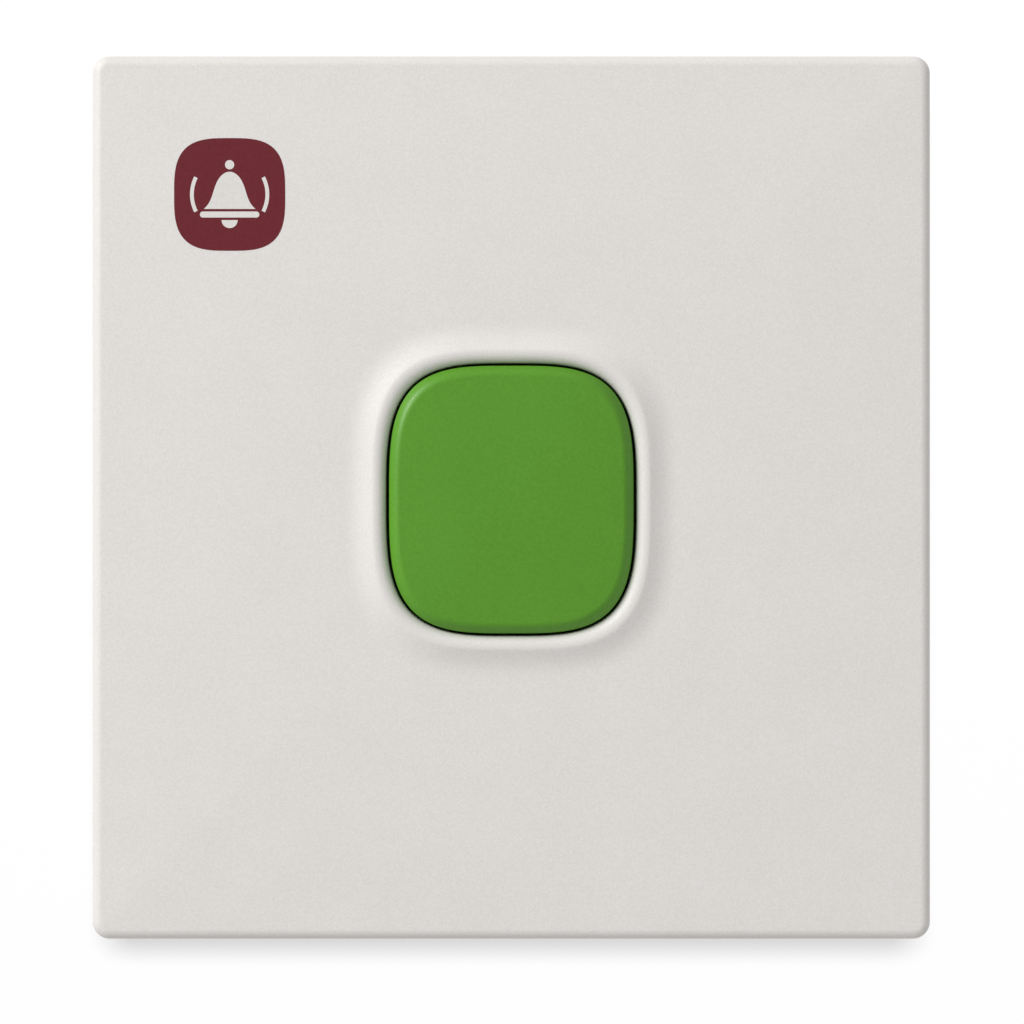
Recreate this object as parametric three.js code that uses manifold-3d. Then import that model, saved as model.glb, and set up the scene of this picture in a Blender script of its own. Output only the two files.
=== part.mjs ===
// Nurse call unit: a flat wall station with one large push-button.
//
// The pieces are built in a wall frame: x to the right, y up, z out of the wall towards the
// viewer, with the wall itself at z = 0 and the middle of the unit at x = y = 0.
// The exported group turns that frame so that +Z is up and the front faces -Y.
// Lengths are millimetres. The button cap and its seal slide along z, into the wall.

import * as THREE from "three";
import { mergeVertices } from "three/addons/utils/BufferGeometryUtils.js";
import Module from "manifold-3d";

// Fits
const CLEARANCE = 0.3; // between pieces that seat on or pass through each other
const BUTTON_GAP = 0.3; // visible gap between the button and its opening
const EMBED = 0.5; // how far a rib, boss or hook reaches into the wall that carries it

// Front cover, a single moulding
const COVER_WIDTH = 84;
const COVER_HEIGHT = 88.5;
const COVER_DEPTH = 14; // from the wall to the flat of the front face
const COVER_WALL = 2;
const COVER_CORNER_RADIUS = 1.7; // corners seen from the front
const COVER_EDGE_RADIUS = 1; // rounding between the front face and the sides
const COVER_DRAFT = 0.25; // lean of each side over its height, for the mould
const WALL_REVEAL = 1; // shadow gap between the cover and the wall
const COVER_RIB_WIDTH = 1;
const COVER_RIB_DEPTH = 1.2;
const COVER_RIB_X = 18.5;
const COVER_RIB_Y = 20.5;
const PRY_NOTCH_WIDTH = 12; // screwdriver notch in the lower edge
const PRY_NOTCH_DEPTH = 1.3;

// Opening for the button, a superellipse with a soft raised lip
const OPENING_WIDTH = 24.85;
const OPENING_HEIGHT = 27.15;
const OPENING_EXPONENT = 3.4;
const OPENING_DROP = 0.2; // the button sits this far below the middle of the cover
const LIP_HEIGHT = 0.7;
const LIP_ROUND = 1.05; // rounding from the bore up to the crest
const LIP_CREST = 0.25; // narrow top of the lip
const LIP_FADE = 3.4; // run over which the lip sinks back into the front face
const COLLAR_WALL = 1.6;
const COLLAR_REACH = 0.6; // the collar stands this far inside the front skin

// Button cap and its seal
const BUTTON_TRAVEL = 1.2;
const CAP_SINK = 0.1; // shoulder of the cap below the crest of the lip
const CAP_BEVEL_RUN = 0.9;
const CAP_BEVEL_RISE = 0.65;
const CAP_BEVEL_FULLNESS = 1.4; // 1 is a quarter ellipse, more is flatter near the rim
const CAP_CROWN = 0.35; // rise of the middle above the rim of the bevel
const CAP_SKIN = 1.7;
const CAP_SKIRT = 1.4;
const CAP_PAD_RADIUS = 2.4; // pad that presses the switch plunger
const CAP_PAD_HEIGHT = 0.3;
const CAP_RIB_WIDTH = 1;
const CAP_RIB_DEPTH = 0.5;
const FLANGE_REACH = 1.6; // stops the cap behind the collar
const FLANGE_THICKNESS = 1;
const SEAL_THICKNESS = 0.7;
const SEAL_LIP = 0.25;

// Two return springs on a carrier
const SPRING_RADIUS = 1.9; // to the middle of the wire
const SPRING_WIRE = 0.5;
const SPRING_TURNS = 4.5;
const SPRING_X = 7.4;
const SPRING_CLOSING = 0.1; // how nearly the end turns lie flat
const SPRING_PIN_RADIUS = 1.3;
const SPRING_PIN_LENGTH = 1.6;
const CARRIER_THICKNESS = 1;
const CARRIER_CUP_WALL = 0.6;
const CARRIER_CUP_HEIGHT = 1.3;
const CARRIER_PEG_RADIUS = 0.9;
const CARRIER_PEG_X = 6.2;
const CARRIER_PEG_Y = 7.4;
const CARRIER_PEG_SHOWS = 0.6; // staked end of a peg behind the board

// Switch under the middle of the cap
const SWITCH_SIDE = 8;
const SWITCH_HEIGHT = 3.5;
const SWITCH_ROOF = 0.6;
const SWITCH_CHAMBER_RADIUS = 3;
const PLUNGER_RADIUS = 1.8;
const PLUNGER_RIM = 0.8; // how far its rim stands out under the roof
const PLUNGER_RIM_THICKNESS = 0.6;
const PLUNGER_EDGE = 0.35;
const SWITCH_LEAD_WIDTH = 0.9;
const SWITCH_LEAD_REACH = 1;
const SWITCH_LEAD_SPACING = 4.5;

// Circuit board and what is soldered to it
const BOARD_MARGIN_X = 13; // from the sides of the cover to the board
const BOARD_MARGIN_Y = 9.25; // from its upper and lower edge
const BOARD_THICKNESS = 1.6;
const BOARD_CORNER_RADIUS = 2;
const BOARD_SCREW_INSET = 5; // from both edges of the board to a screw
const LED_WIDTH = 3.5;
const LED_HEIGHT = 2.8;
const LED_THICKNESS = 1.9;
const LED_LENS_RADIUS = 1.1;
const LED_LENS_NARROWING = 0.3; // the dish narrows this much towards its floor
const LED_LENS_DEPTH = 0.5;
const LED_Y = 7.4;
const CONTROLLER_SIDE = 7;
const CONTROLLER_THICKNESS = 1;
const CONTROLLER_LEADS = 7;
const CONTROLLER_X = -11;
const BUS_CHIP_WIDTH = 3.9;
const BUS_CHIP_HEIGHT = 4.9;
const BUS_CHIP_THICKNESS = 1.5;
const BUS_CHIP_LEADS = 4;
const BUS_CHIP_X = 10;
const CAPACITOR_RADIUS = 2.5;
const CAPACITOR_HEIGHT = 2.9;
const CAPACITOR_BASE = 5.3;
const CAPACITOR_BASE_CORNER = 0.6;
const CAPACITOR_BASE_THICKNESS = 0.8;
const CAPACITOR_X = 11;
const CHIP_LEAD_PITCH = 0.8;
const CHIP_LEAD_WIDTH = 0.35;
const CHIP_LEAD_REACH = 0.9;
const CHIP_LEAD_THICKNESS = 0.2;

// Plug header for the bus cable, facing the wall through the cable window
const HEADER_PINS = 4;
const HEADER_PITCH = 3.8;
const HEADER_INNER_HEIGHT = 5.2;
const HEADER_WALL = 0.9;
const HEADER_FLOOR = 1;
const HEADER_DEPTH = 4.7;
const HEADER_END_ROOM = 2; // from an outer pin to the end wall
const HEADER_KEY_WIDTH = 3;
const HEADER_KEY_DEPTH = 3.3;
const HEADER_X = -3.4;
const PIN_SIDE = 0.7;
const PIN_TAPER = 0.35;
const PIN_INSET = 1; // pin tips stand back from the mouth of the header
const PIN_TAIL = 0.9; // soldered end in front of the board

// Board screws
const SCREW_DIAMETER = 2.5;
const SCREW_HEAD_RADIUS = 2.3;
const SCREW_HEAD_HEIGHT = 1.6;
const SCREW_HEAD_TOP_RADIUS = 1.6; // flat top inside the rounded rim
const SCREW_HEAD_RIM_HEIGHT = 0.9;
const SCREW_POINT = 0.6;
const SCREW_BITE = 3.1; // length inside the boss
const SCREW_SLOT_LENGTH = 2.8;
const SCREW_SLOT_WIDTH = 0.6;
const SCREW_SLOT_DEPTH = 0.9;
const BOSS_RADIUS = 3.2;

// Mounting plate that is screwed to the wall box
const PLATE_THICKNESS = 2;
const RIM_WALL = 1.5;
const RIM_TOP = 6.5;
const WINDOW_WIDTH = 28;
const WINDOW_FOOT = 11.2; // from the lower edge of the plate to the cable window
const WINDOW_CORNER_RADIUS = 2;
const WINDOW_FRAME_WALL = 1.2;
const WINDOW_FRAME_TOP = 4;
const WALL_SCREW_SPACING = 60;
const WALL_SLOT_WIDTH = 4.8;
const WALL_SLOT_LENGTH = 9.6;
const WALL_SLOT_PAD = 2.2; // raised land round each slot
const WALL_SLOT_PAD_HEIGHT = 1;
const PLATE_RIB_WIDTH = 1.2;
const PLATE_RIB_HEIGHT = 1.2;
const PLATE_RIB_X = 20;
const PLATE_RIB_Y = 13;
const TIE_BRIDGE_WIDTH = 7;
const TIE_BRIDGE_LENGTH = 3;
const TIE_BRIDGE_HEIGHT = 3;
const TIE_TUNNEL_WIDTH = 4;
const TIE_TUNNEL_HEIGHT = 1.6;
const TIE_BRIDGE_FOOT = 5.5; // from the lower edge of the plate to the bridge

// Hooks of the cover in windows of the plate's rim
const HOOK_WIDTH = 8;
const HOOK_X = 23;
const HOOK_REACH = 1.3;
const HOOK_BOTTOM = 3.2;
const HOOK_HEIGHT = 1.7;
const HOOK_FACE = 0.4; // flat tip of the wedge

// Foam seal in the back of the plate
const GROOVE_INSET = 1;
const GROOVE_WIDTH = 2.2;
const GROOVE_DEPTH = 1.2;
const FOAM_SHOULDER = 0.3;

// How finely round forms are drawn
const OUTLINE_POINTS = 64;
const CORNER_STEPS = 5;
const FILLET_STEPS = 5;
const LIP_STEPS = 6;
const CROWN_SHARES = [0.85, 0.6, 0.3];
const ROUND_SEGMENTS = 20;
const WIRE_SIDES = 8;
const STEPS_PER_TURN = 12;

// Levels along z, worked out from the front of the unit back to the wall
const skinInside = COVER_DEPTH - COVER_WALL;
const lipCrest = COVER_DEPTH + LIP_HEIGHT;
const collarEnd = skinInside - COLLAR_REACH;
const sealTop = collarEnd - CLEARANCE;
const sealBottom = sealTop - SEAL_THICKNESS;
const flangeTop = sealBottom - CLEARANCE;
const flangeBottom = flangeTop - FLANGE_THICKNESS;
const boardFront = flangeBottom - BUTTON_TRAVEL - CLEARANCE;
const boardRear = boardFront - BOARD_THICKNESS;
const bossEnd = boardFront + CLEARANCE;
const capShoulder = lipCrest - CAP_SINK;
const capRim = capShoulder + CAP_BEVEL_RISE;
const capPocket = capRim - CAP_SKIN;
const carrierBottom = boardFront + CLEARANCE;
const carrierTop = carrierBottom + CARRIER_THICKNESS;
const plungerTop = capPocket - CAP_PAD_HEIGHT - CLEARANCE;
const switchTop = carrierBottom + SWITCH_HEIGHT;
const headerBack = boardRear - CLEARANCE;
const headerMouth = headerBack - HEADER_DEPTH;

// Half sizes that several pieces share
const capHalfWidth = OPENING_WIDTH / 2 - BUTTON_GAP;
const capHalfHeight = OPENING_HEIGHT / 2 - BUTTON_GAP;
const plateHalfWidth = COVER_WIDTH / 2 - COVER_WALL - COVER_DRAFT - CLEARANCE;
const plateHalfHeight = COVER_HEIGHT / 2 - COVER_WALL - COVER_DRAFT - CLEARANCE;
const plateCornerRadius = Math.max(COVER_CORNER_RADIUS - CLEARANCE, CLEARANCE);
const screwHoleRadius = SCREW_DIAMETER / 2 + CLEARANCE;
const boardHalfWidth = COVER_WIDTH / 2 - BOARD_MARGIN_X;
const boardHalfHeight = COVER_HEIGHT / 2 - BOARD_MARGIN_Y;
const boardScrewX = boardHalfWidth - BOARD_SCREW_INSET;
const boardScrewY = boardHalfHeight - BOARD_SCREW_INSET;

// The controller and the capacitor sit midway between the button's flange and the board's edge.
const flangeHead = capHalfHeight + FLANGE_REACH - OPENING_DROP;
const upperRowY = (flangeHead + boardHalfHeight) / 2;

// The header's pins stand through the board just below the flange of the pressed button, and
// the cable window in the plate starts above the header.
const pinCorner = PIN_SIDE / Math.SQRT2;
const flangeFoot = OPENING_DROP + capHalfHeight + FLANGE_REACH;
const headerY = -(flangeFoot + CLEARANCE + pinCorner);
const headerInnerWidth = (HEADER_PINS - 1) * HEADER_PITCH + 2 * HEADER_END_ROOM;
const windowTop = headerY + HEADER_INNER_HEIGHT / 2 + HEADER_WALL + CLEARANCE;
const windowBottom = WINDOW_FOOT - plateHalfHeight;

const wasm = await Module();
wasm.setup();

// Turns a closed three.js geometry into a solid that can be joined and cut.
function solidOf(geometry) {
  const source = geometry.index ? geometry.toNonIndexed() : geometry;
  const bare = new THREE.BufferGeometry();
  bare.setAttribute("position", source.getAttribute("position"));
  const merged = mergeVertices(bare, 1e-4);
  return new wasm.Manifold(
    new wasm.Mesh({
      numProp: 3,
      vertProperties: merged.getAttribute("position").array,
      triVerts: new Uint32Array(merged.index.array),
    }),
  );
}

// Turns a solid back into a geometry with flat shading.
function geometryOf(solid) {
  const mesh = solid.getMesh();
  const geometry = new THREE.BufferGeometry();
  geometry.setAttribute("position", new THREE.BufferAttribute(mesh.vertProperties, mesh.numProp));
  geometry.setIndex(new THREE.BufferAttribute(mesh.triVerts, 1));
  const flat = geometry.toNonIndexed();
  flat.computeVertexNormals();
  return flat;
}

const joined = (first, ...others) => others.reduce((sum, next) => sum.add(next), first);
const without = (first, ...others) => others.reduce((rest, next) => rest.subtract(next), first);

// A box between two levels, centred on x, y.
function block(width, height, bottom, top, x = 0, y = 0) {
  const box = new THREE.BoxGeometry(width, height, top - bottom);
  return solidOf(box.translate(x, y, (bottom + top) / 2));
}

// An upright cylinder between two levels, centred on x, y.
function rod(radius, bottom, top, x = 0, y = 0) {
  const cylinder = new THREE.CylinderGeometry(radius, radius, top - bottom, ROUND_SEGMENTS);
  return solidOf(cylinder.rotateX(Math.PI / 2).translate(x, y, (bottom + top) / 2));
}

// A flat outline, with its holes, raised between two levels.
function slab(shape, bottom, top) {
  const settings = { depth: top - bottom, bevelEnabled: false, curveSegments: CORNER_STEPS };
  return solidOf(new THREE.ExtrudeGeometry(shape, settings).translate(0, 0, bottom));
}

// A profile of [radius, level] pairs turned about the z axis; it starts and ends on the axis.
function turned(profile, segments = ROUND_SEGMENTS) {
  const points = profile.map(([radius, level]) => new THREE.Vector2(radius, -level));
  return new THREE.LatheGeometry(points.reverse(), segments).rotateX(-Math.PI / 2);
}

function roundedShape(width, height, radius, x = 0, y = 0) {
  const shape = new THREE.Shape();
  const across = width / 2 - radius;
  const up = height / 2 - radius;
  shape.absarc(x + across, y - up, radius, -Math.PI / 2, 0);
  shape.absarc(x + across, y + up, radius, 0, Math.PI / 2);
  shape.absarc(x - across, y + up, radius, Math.PI / 2, Math.PI);
  shape.absarc(x - across, y - up, radius, Math.PI, 1.5 * Math.PI);
  shape.closePath();
  return shape;
}

function circularHole(radius, x, y) {
  return new THREE.Path().absarc(x, y, radius, 0, 2 * Math.PI);
}

// Ring of points round a rectangle with rounded corners, always with the same number of points.
function rectangleRing(halfWidth, halfHeight, radius) {
  const ring = [];
  const middles = [[1, -1], [1, 1], [-1, 1], [-1, -1]];
  middles.forEach(([sideX, sideY], corner) => {
    for (let step = 0; step <= CORNER_STEPS; step++) {
      const angle = (Math.PI / 2) * (corner - 1 + step / CORNER_STEPS);
      ring.push([
        sideX * (halfWidth - radius) + radius * Math.cos(angle),
        sideY * (halfHeight - radius) + radius * Math.sin(angle),
      ]);
    }
  });
  return ring;
}

// Ring of points round a superellipse |x/a|^n + |y/b|^n = 1.
function superellipseRing(halfWidth, halfHeight) {
  const power = (value) => Math.sign(value) * Math.abs(value) ** (2 / OPENING_EXPONENT);
  return Array.from({ length: OUTLINE_POINTS }, (_, index) => {
    const angle = (2 * Math.PI * index) / OUTLINE_POINTS;
    return [halfWidth * power(Math.cos(angle)), halfHeight * power(Math.sin(angle))];
  });
}

// Outline of the button opening, grown outwards all round.
const openingRing = (grown) => superellipseRing(OPENING_WIDTH / 2 + grown, OPENING_HEIGHT / 2 + grown);
const capRing = (grown) => superellipseRing(capHalfWidth + grown, capHalfHeight + grown);

// Faces between a stack of rings, each given as { ring, z }. A closed stack joins its last ring
// to its first, as a picture frame does; an open one is closed by a flat cap at each end.
function loft(stack, closed = false) {
  const count = stack[0].ring.length;
  const positions = stack.flatMap(({ ring, z }) => ring.flatMap(([x, y]) => [x, y, z]));
  const faces = [];
  const bands = closed ? stack.length : stack.length - 1;
  for (let row = 0; row < bands; row++) {
    const next = (row + 1) % stack.length;
    for (let column = 0; column < count; column++) {
      const beside = (column + 1) % count;
      const [a, b] = [row * count + column, row * count + beside];
      const [c, d] = [next * count + beside, next * count + column];
      faces.push(a, b, c, a, c, d);
    }
  }
  if (!closed) {
    const bottomMiddle = positions.length / 3;
    const last = (stack.length - 1) * count;
    positions.push(0, 0, stack[0].z, 0, 0, stack[stack.length - 1].z);
    for (let column = 0; column < count; column++) {
      const beside = (column + 1) % count;
      faces.push(bottomMiddle, beside, column, bottomMiddle + 1, last + column, last + beside);
    }
  }
  const geometry = new THREE.BufferGeometry();
  geometry.setAttribute("position", new THREE.Float32BufferAttribute(positions, 3));
  geometry.setIndex(faces);
  return solidOf(geometry);
}

// A closed profile of [growth, level] pairs carried round an outline. It runs anticlockwise.
const frameOf = (outline, profile) =>
  loft(profile.map(([grown, z]) => ({ ring: outline(grown), z })), true);

// Outline of the cover at a level, moved in from the outside by an inset.
function coverRing(inset, level) {
  const lean = (COVER_DRAFT * (level - WALL_REVEAL)) / (COVER_DEPTH - WALL_REVEAL);
  const radius = Math.max(COVER_CORNER_RADIUS - inset, CLEARANCE);
  return rectangleRing(COVER_WIDTH / 2 - inset - lean, COVER_HEIGHT / 2 - inset - lean, radius);
}

// Outside of the cover: leaning sides and a rounded edge, closed at both ends.
function coverOutside() {
  const stack = [{ ring: coverRing(0, WALL_REVEAL), z: WALL_REVEAL }];
  for (let step = 0; step <= FILLET_STEPS; step++) {
    const angle = (Math.PI / 2) * (step / FILLET_STEPS);
    const inset = COVER_EDGE_RADIUS * (1 - Math.cos(angle));
    const z = COVER_DEPTH - COVER_EDGE_RADIUS * (1 - Math.sin(angle));
    stack.push({ ring: coverRing(inset, z), z });
  }
  return loft(stack);
}

function coverInside() {
  const rear = WALL_REVEAL - EMBED;
  return loft([
    { ring: coverRing(COVER_WALL, rear), z: rear },
    { ring: coverRing(COVER_WALL, skinInside), z: skinInside },
  ]);
}

// Section through the lip and collar, as [distance out from the bore, level].
// Over the way s from the foot to the crest the height grows as s - sin(pi s) / pi, so it leaves
// the front face with no crease and is steepest at the crest.
function lipProfile() {
  const foot = COVER_DEPTH - COVER_WALL / 2;
  const crestEnd = LIP_ROUND + LIP_CREST;
  const profile = [[crestEnd + LIP_FADE, foot]];
  for (let step = 0; step <= LIP_STEPS; step++) {
    const share = step / LIP_STEPS;
    const rise = share - Math.sin(Math.PI * share) / Math.PI;
    profile.push([crestEnd + LIP_FADE * (1 - share), COVER_DEPTH + LIP_HEIGHT * rise]);
  }
  for (let step = 0; step <= LIP_STEPS; step++) {
    const angle = (Math.PI / 2) * (step / LIP_STEPS);
    const out = LIP_ROUND * (1 - Math.sin(angle));
    profile.push([out, lipCrest - LIP_ROUND * (1 - Math.cos(angle))]);
  }
  profile.push([0, collarEnd], [COLLAR_WALL, collarEnd], [COLLAR_WALL, foot]);
  return profile;
}

// Wedge that snaps behind the plate's rim, on the upper wall of the cover.
function coverHook(x) {
  const inner = COVER_HEIGHT / 2 - COVER_WALL;
  const hookTop = HOOK_BOTTOM + HOOK_HEIGHT;
  const profile = new THREE.Shape([
    new THREE.Vector2(inner + EMBED, HOOK_BOTTOM),
    new THREE.Vector2(inner + EMBED, hookTop),
    new THREE.Vector2(inner - HOOK_REACH, hookTop),
    new THREE.Vector2(inner - HOOK_REACH, hookTop - HOOK_FACE),
    new THREE.Vector2(inner - COVER_DRAFT, HOOK_BOTTOM),
  ]);
  const wedge = new THREE.ExtrudeGeometry(profile, { depth: HOOK_WIDTH, bevelEnabled: false });
  const turn = new THREE.Matrix4().makeBasis(
    new THREE.Vector3(0, 1, 0),
    new THREE.Vector3(0, 0, 1),
    new THREE.Vector3(1, 0, 0),
  );
  return solidOf(wedge.applyMatrix4(turn).translate(x - HOOK_WIDTH / 2, 0, 0));
}

// A feature on the upper wall, repeated on the lower wall by half a turn.
const bothWalls = (solid) => solid.add(solid.rotate([0, 0, 180]));

function coverBoss(x, y) {
  const sideWall = Math.sign(x) * (COVER_WIDTH / 2 - COVER_WALL);
  const web = block(
    Math.abs(sideWall - x) + EMBED,
    COVER_RIB_WIDTH,
    skinInside - 2 * COVER_RIB_DEPTH,
    skinInside + EMBED,
    (sideWall + x + Math.sign(x) * EMBED) / 2,
    y,
  );
  return joined(rod(BOSS_RADIUS, bossEnd, skinInside + EMBED, x, y), web);
}

function coverRibs() {
  const ribBottom = skinInside - COVER_RIB_DEPTH;
  const ribTop = skinInside + EMBED;
  const insideWidth = COVER_WIDTH - 2 * COVER_WALL;
  const insideHeight = COVER_HEIGHT - 2 * COVER_WALL;
  return joined(
    block(COVER_RIB_WIDTH, insideHeight, ribBottom, ribTop, COVER_RIB_X, 0),
    block(COVER_RIB_WIDTH, insideHeight, ribBottom, ribTop, -COVER_RIB_X, 0),
    block(insideWidth, COVER_RIB_WIDTH, ribBottom, ribTop, 0, COVER_RIB_Y),
    block(insideWidth, COVER_RIB_WIDTH, ribBottom, ribTop, 0, -COVER_RIB_Y),
  );
}

const boardCorners = [
  [-boardScrewX, boardScrewY],
  [boardScrewX, boardScrewY],
  [-boardScrewX, -boardScrewY],
  [boardScrewX, -boardScrewY],
];

function frontCover() {
  const notchTop = WALL_REVEAL + PRY_NOTCH_DEPTH;
  const edgeY = -COVER_HEIGHT / 2;
  const opening = loft([
    { ring: openingRing(EMBED), z: skinInside - EMBED },
    { ring: openingRing(EMBED), z: lipCrest + EMBED },
  ]);
  const lip = frameOf(openingRing, lipProfile());
  const screwHoles = boardCorners.map(([x, y]) =>
    rod(screwHoleRadius, bossEnd - EMBED, bossEnd + SCREW_BITE + CLEARANCE, x, y),
  );
  const shell = joined(
    without(coverOutside(), coverInside()),
    coverRibs(),
    ...boardCorners.map(([x, y]) => coverBoss(x, y)),
    bothWalls(joined(coverHook(HOOK_X), coverHook(-HOOK_X))),
  );
  const pierced = without(
    shell,
    opening.translate([0, -OPENING_DROP, 0]),
    ...screwHoles,
    block(PRY_NOTCH_WIDTH, 3 * COVER_WALL, WALL_REVEAL - EMBED, notchTop, 0, edgeY),
  );
  return joined(pierced, lip.translate([0, -OPENING_DROP, 0]));
}

// Outside of the cap from its flange up over the bevel to the crown. The crown's rings shrink
// towards the middle and rise as 1 - s squared.
function capOutside() {
  const stack = [
    { ring: capRing(FLANGE_REACH), z: flangeBottom },
    { ring: capRing(FLANGE_REACH), z: flangeTop },
    { ring: capRing(0), z: flangeTop },
    { ring: capRing(0), z: capShoulder },
  ];
  for (let step = 1; step <= FILLET_STEPS; step++) {
    const share = step / FILLET_STEPS;
    const rise = Math.sin((Math.PI / 2) * share) ** CAP_BEVEL_FULLNESS;
    stack.push({ ring: capRing(-CAP_BEVEL_RUN * share), z: capShoulder + CAP_BEVEL_RISE * rise });
  }
  for (const share of CROWN_SHARES) {
    const halfWidth = (capHalfWidth - CAP_BEVEL_RUN) * share;
    const halfHeight = (capHalfHeight - CAP_BEVEL_RUN) * share;
    const z = capRim + CAP_CROWN * (1 - share ** 2);
    stack.push({ ring: superellipseRing(halfWidth, halfHeight), z });
  }
  return loft(stack);
}

// Two ribs under the skin, from corner to corner, with room for the plunger in the middle.
function capRibs() {
  const [bottom, top] = [capPocket - CAP_RIB_DEPTH, capPocket + EMBED];
  const across = 2 * Math.hypot(capHalfWidth, capHalfHeight);
  const slope = THREE.MathUtils.radToDeg(Math.atan2(capHalfHeight, capHalfWidth));
  const cross = [slope, -slope].map((turn) =>
    block(across, CAP_RIB_WIDTH, bottom, top).rotate([0, 0, turn]),
  );
  const inSkirt = loft([
    { ring: capRing(-CAP_SKIRT / 2), z: bottom },
    { ring: capRing(-CAP_SKIRT / 2), z: top },
  ]);
  const plungerRoom = rod(PLUNGER_RADIUS + 2 * CLEARANCE, flangeBottom, capPocket - CAP_PAD_HEIGHT);
  return joined(...cross).intersect(inSkirt).subtract(plungerRoom);
}

// Hollow cap with the pad for the plunger and a pin for each spring under its skin.
function buttonCap() {
  const pocket = loft([
    { ring: capRing(-CAP_SKIRT), z: flangeBottom - EMBED },
    { ring: capRing(-CAP_SKIRT), z: capPocket },
  ]);
  const pinEnd = capPocket - SPRING_PIN_LENGTH;
  return joined(
    without(capOutside(), pocket),
    capRibs(),
    rod(CAP_PAD_RADIUS, capPocket - CAP_PAD_HEIGHT, capPocket + EMBED),
    rod(SPRING_PIN_RADIUS, pinEnd, capPocket + EMBED, SPRING_X),
    rod(SPRING_PIN_RADIUS, pinEnd, capPocket + EMBED, -SPRING_X),
  );
}

// Soft ring on the cap's flange. A thin lip round its inner edge wipes the skirt of the cap.
function buttonSeal() {
  return frameOf(capRing, [
    [FLANGE_REACH, sealBottom],
    [FLANGE_REACH, sealTop - SEAL_LIP],
    [FLANGE_REACH - SEAL_LIP, sealTop],
    [2 * CLEARANCE, sealTop],
    [CLEARANCE, sealTop - SEAL_LIP],
    [CLEARANCE, sealBottom],
  ]);
}

// Middle line of the wire. It climbs by a smooth step, so that the end turns lie nearly flat.
class SpringLine extends THREE.Curve {
  constructor(bottom, top) {
    super();
    this.bottom = bottom;
    this.top = top;
  }

  climb(share) {
    return THREE.MathUtils.smoothstep(share, -SPRING_CLOSING, 1 + SPRING_CLOSING);
  }

  getPoint(share, target = new THREE.Vector3()) {
    const angle = 2 * Math.PI * SPRING_TURNS * share;
    const [low, high] = [this.climb(0), this.climb(1)];
    const height = (this.climb(share) - low) / (high - low);
    const z = THREE.MathUtils.lerp(this.bottom, this.top, height);
    return target.set(SPRING_RADIUS * Math.cos(angle), SPRING_RADIUS * Math.sin(angle), z);
  }
}

// Coil of wire between the floor of a cup and the underside of the cap.
function returnSpring() {
  const wireRadius = SPRING_WIRE / 2;
  const bottom = carrierTop + CLEARANCE + wireRadius;
  const top = capPocket - CLEARANCE - wireRadius;
  const section = new THREE.Shape().absarc(0, 0, wireRadius, 0, 2 * Math.PI);
  return new THREE.ExtrudeGeometry(section, {
    steps: Math.round(STEPS_PER_TURN * SPRING_TURNS),
    curveSegments: WIRE_SIDES / 2,
    extrudePath: new SpringLine(bottom, top),
  });
}

// Frame on the board inside the skirt of the cap: two cups hold the springs, windows let the
// switch and the lamps through, and two pegs are staked behind the board.
function springCarrier() {
  const sheetInset = -CAP_SKIRT - 2 * CLEARANCE;
  const sheet = loft([
    { ring: capRing(sheetInset), z: carrierBottom },
    { ring: capRing(sheetInset), z: carrierTop },
  ]);
  const cupInner = SPRING_RADIUS + SPRING_WIRE / 2 + CLEARANCE;
  const cupTop = carrierTop + CARRIER_CUP_HEIGHT;
  const switchSide = SWITCH_SIDE + 2 * CLEARANCE;
  const switchWide = switchSide + 2 * SWITCH_LEAD_REACH;
  const leadRoom = SWITCH_LEAD_SPACING + SWITCH_LEAD_WIDTH + 2 * CLEARANCE;
  const low = carrierBottom - EMBED;
  const cups = [-SPRING_X, SPRING_X].map((x) =>
    rod(cupInner + CARRIER_CUP_WALL, carrierTop - EMBED, cupTop, x),
  );
  const cupRooms = [-SPRING_X, SPRING_X].map((x) => rod(cupInner, carrierTop, cupTop + EMBED, x));
  const pegs = [-1, 1].map((side) =>
    rod(
      CARRIER_PEG_RADIUS,
      boardRear - CARRIER_PEG_SHOWS,
      carrierBottom + EMBED,
      side * CARRIER_PEG_X,
      side * CARRIER_PEG_Y,
    ),
  );
  const lampWindows = [-LED_Y, LED_Y].map((y) =>
    block(LED_WIDTH + 2 * CLEARANCE, LED_HEIGHT + 2 * CLEARANCE, low, cupTop + EMBED, 0, y),
  );
  return without(
    joined(sheet, ...cups, ...pegs),
    ...cupRooms,
    ...lampWindows,
    block(switchSide, switchSide, low, cupTop + EMBED),
    block(leadRoom, switchWide, low, cupTop + EMBED),
  );
}

const plungerRimTop = switchTop - SWITCH_ROOF - CLEARANCE;
const plungerRimBottom = plungerRimTop - PLUNGER_RIM_THICKNESS;

// Housing with a stepped chamber that is open at the top, and four leads bent onto the board.
function switchBody() {
  const chamberFloor = plungerRimBottom - BUTTON_TRAVEL - CLEARANCE;
  const leadTop = carrierBottom + CHIP_LEAD_THICKNESS;
  const leadLength = SWITCH_SIDE + 2 * SWITCH_LEAD_REACH;
  const leads = [-SWITCH_LEAD_SPACING / 2, SWITCH_LEAD_SPACING / 2].map((x) =>
    block(SWITCH_LEAD_WIDTH, leadLength, carrierBottom, leadTop, x, 0),
  );
  const housing = block(SWITCH_SIDE, SWITCH_SIDE, carrierBottom, switchTop);
  return without(
    joined(housing, ...leads),
    rod(SWITCH_CHAMBER_RADIUS, chamberFloor, switchTop - SWITCH_ROOF),
    rod(PLUNGER_RADIUS + CLEARANCE, chamberFloor, switchTop + EMBED),
  );
}

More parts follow.
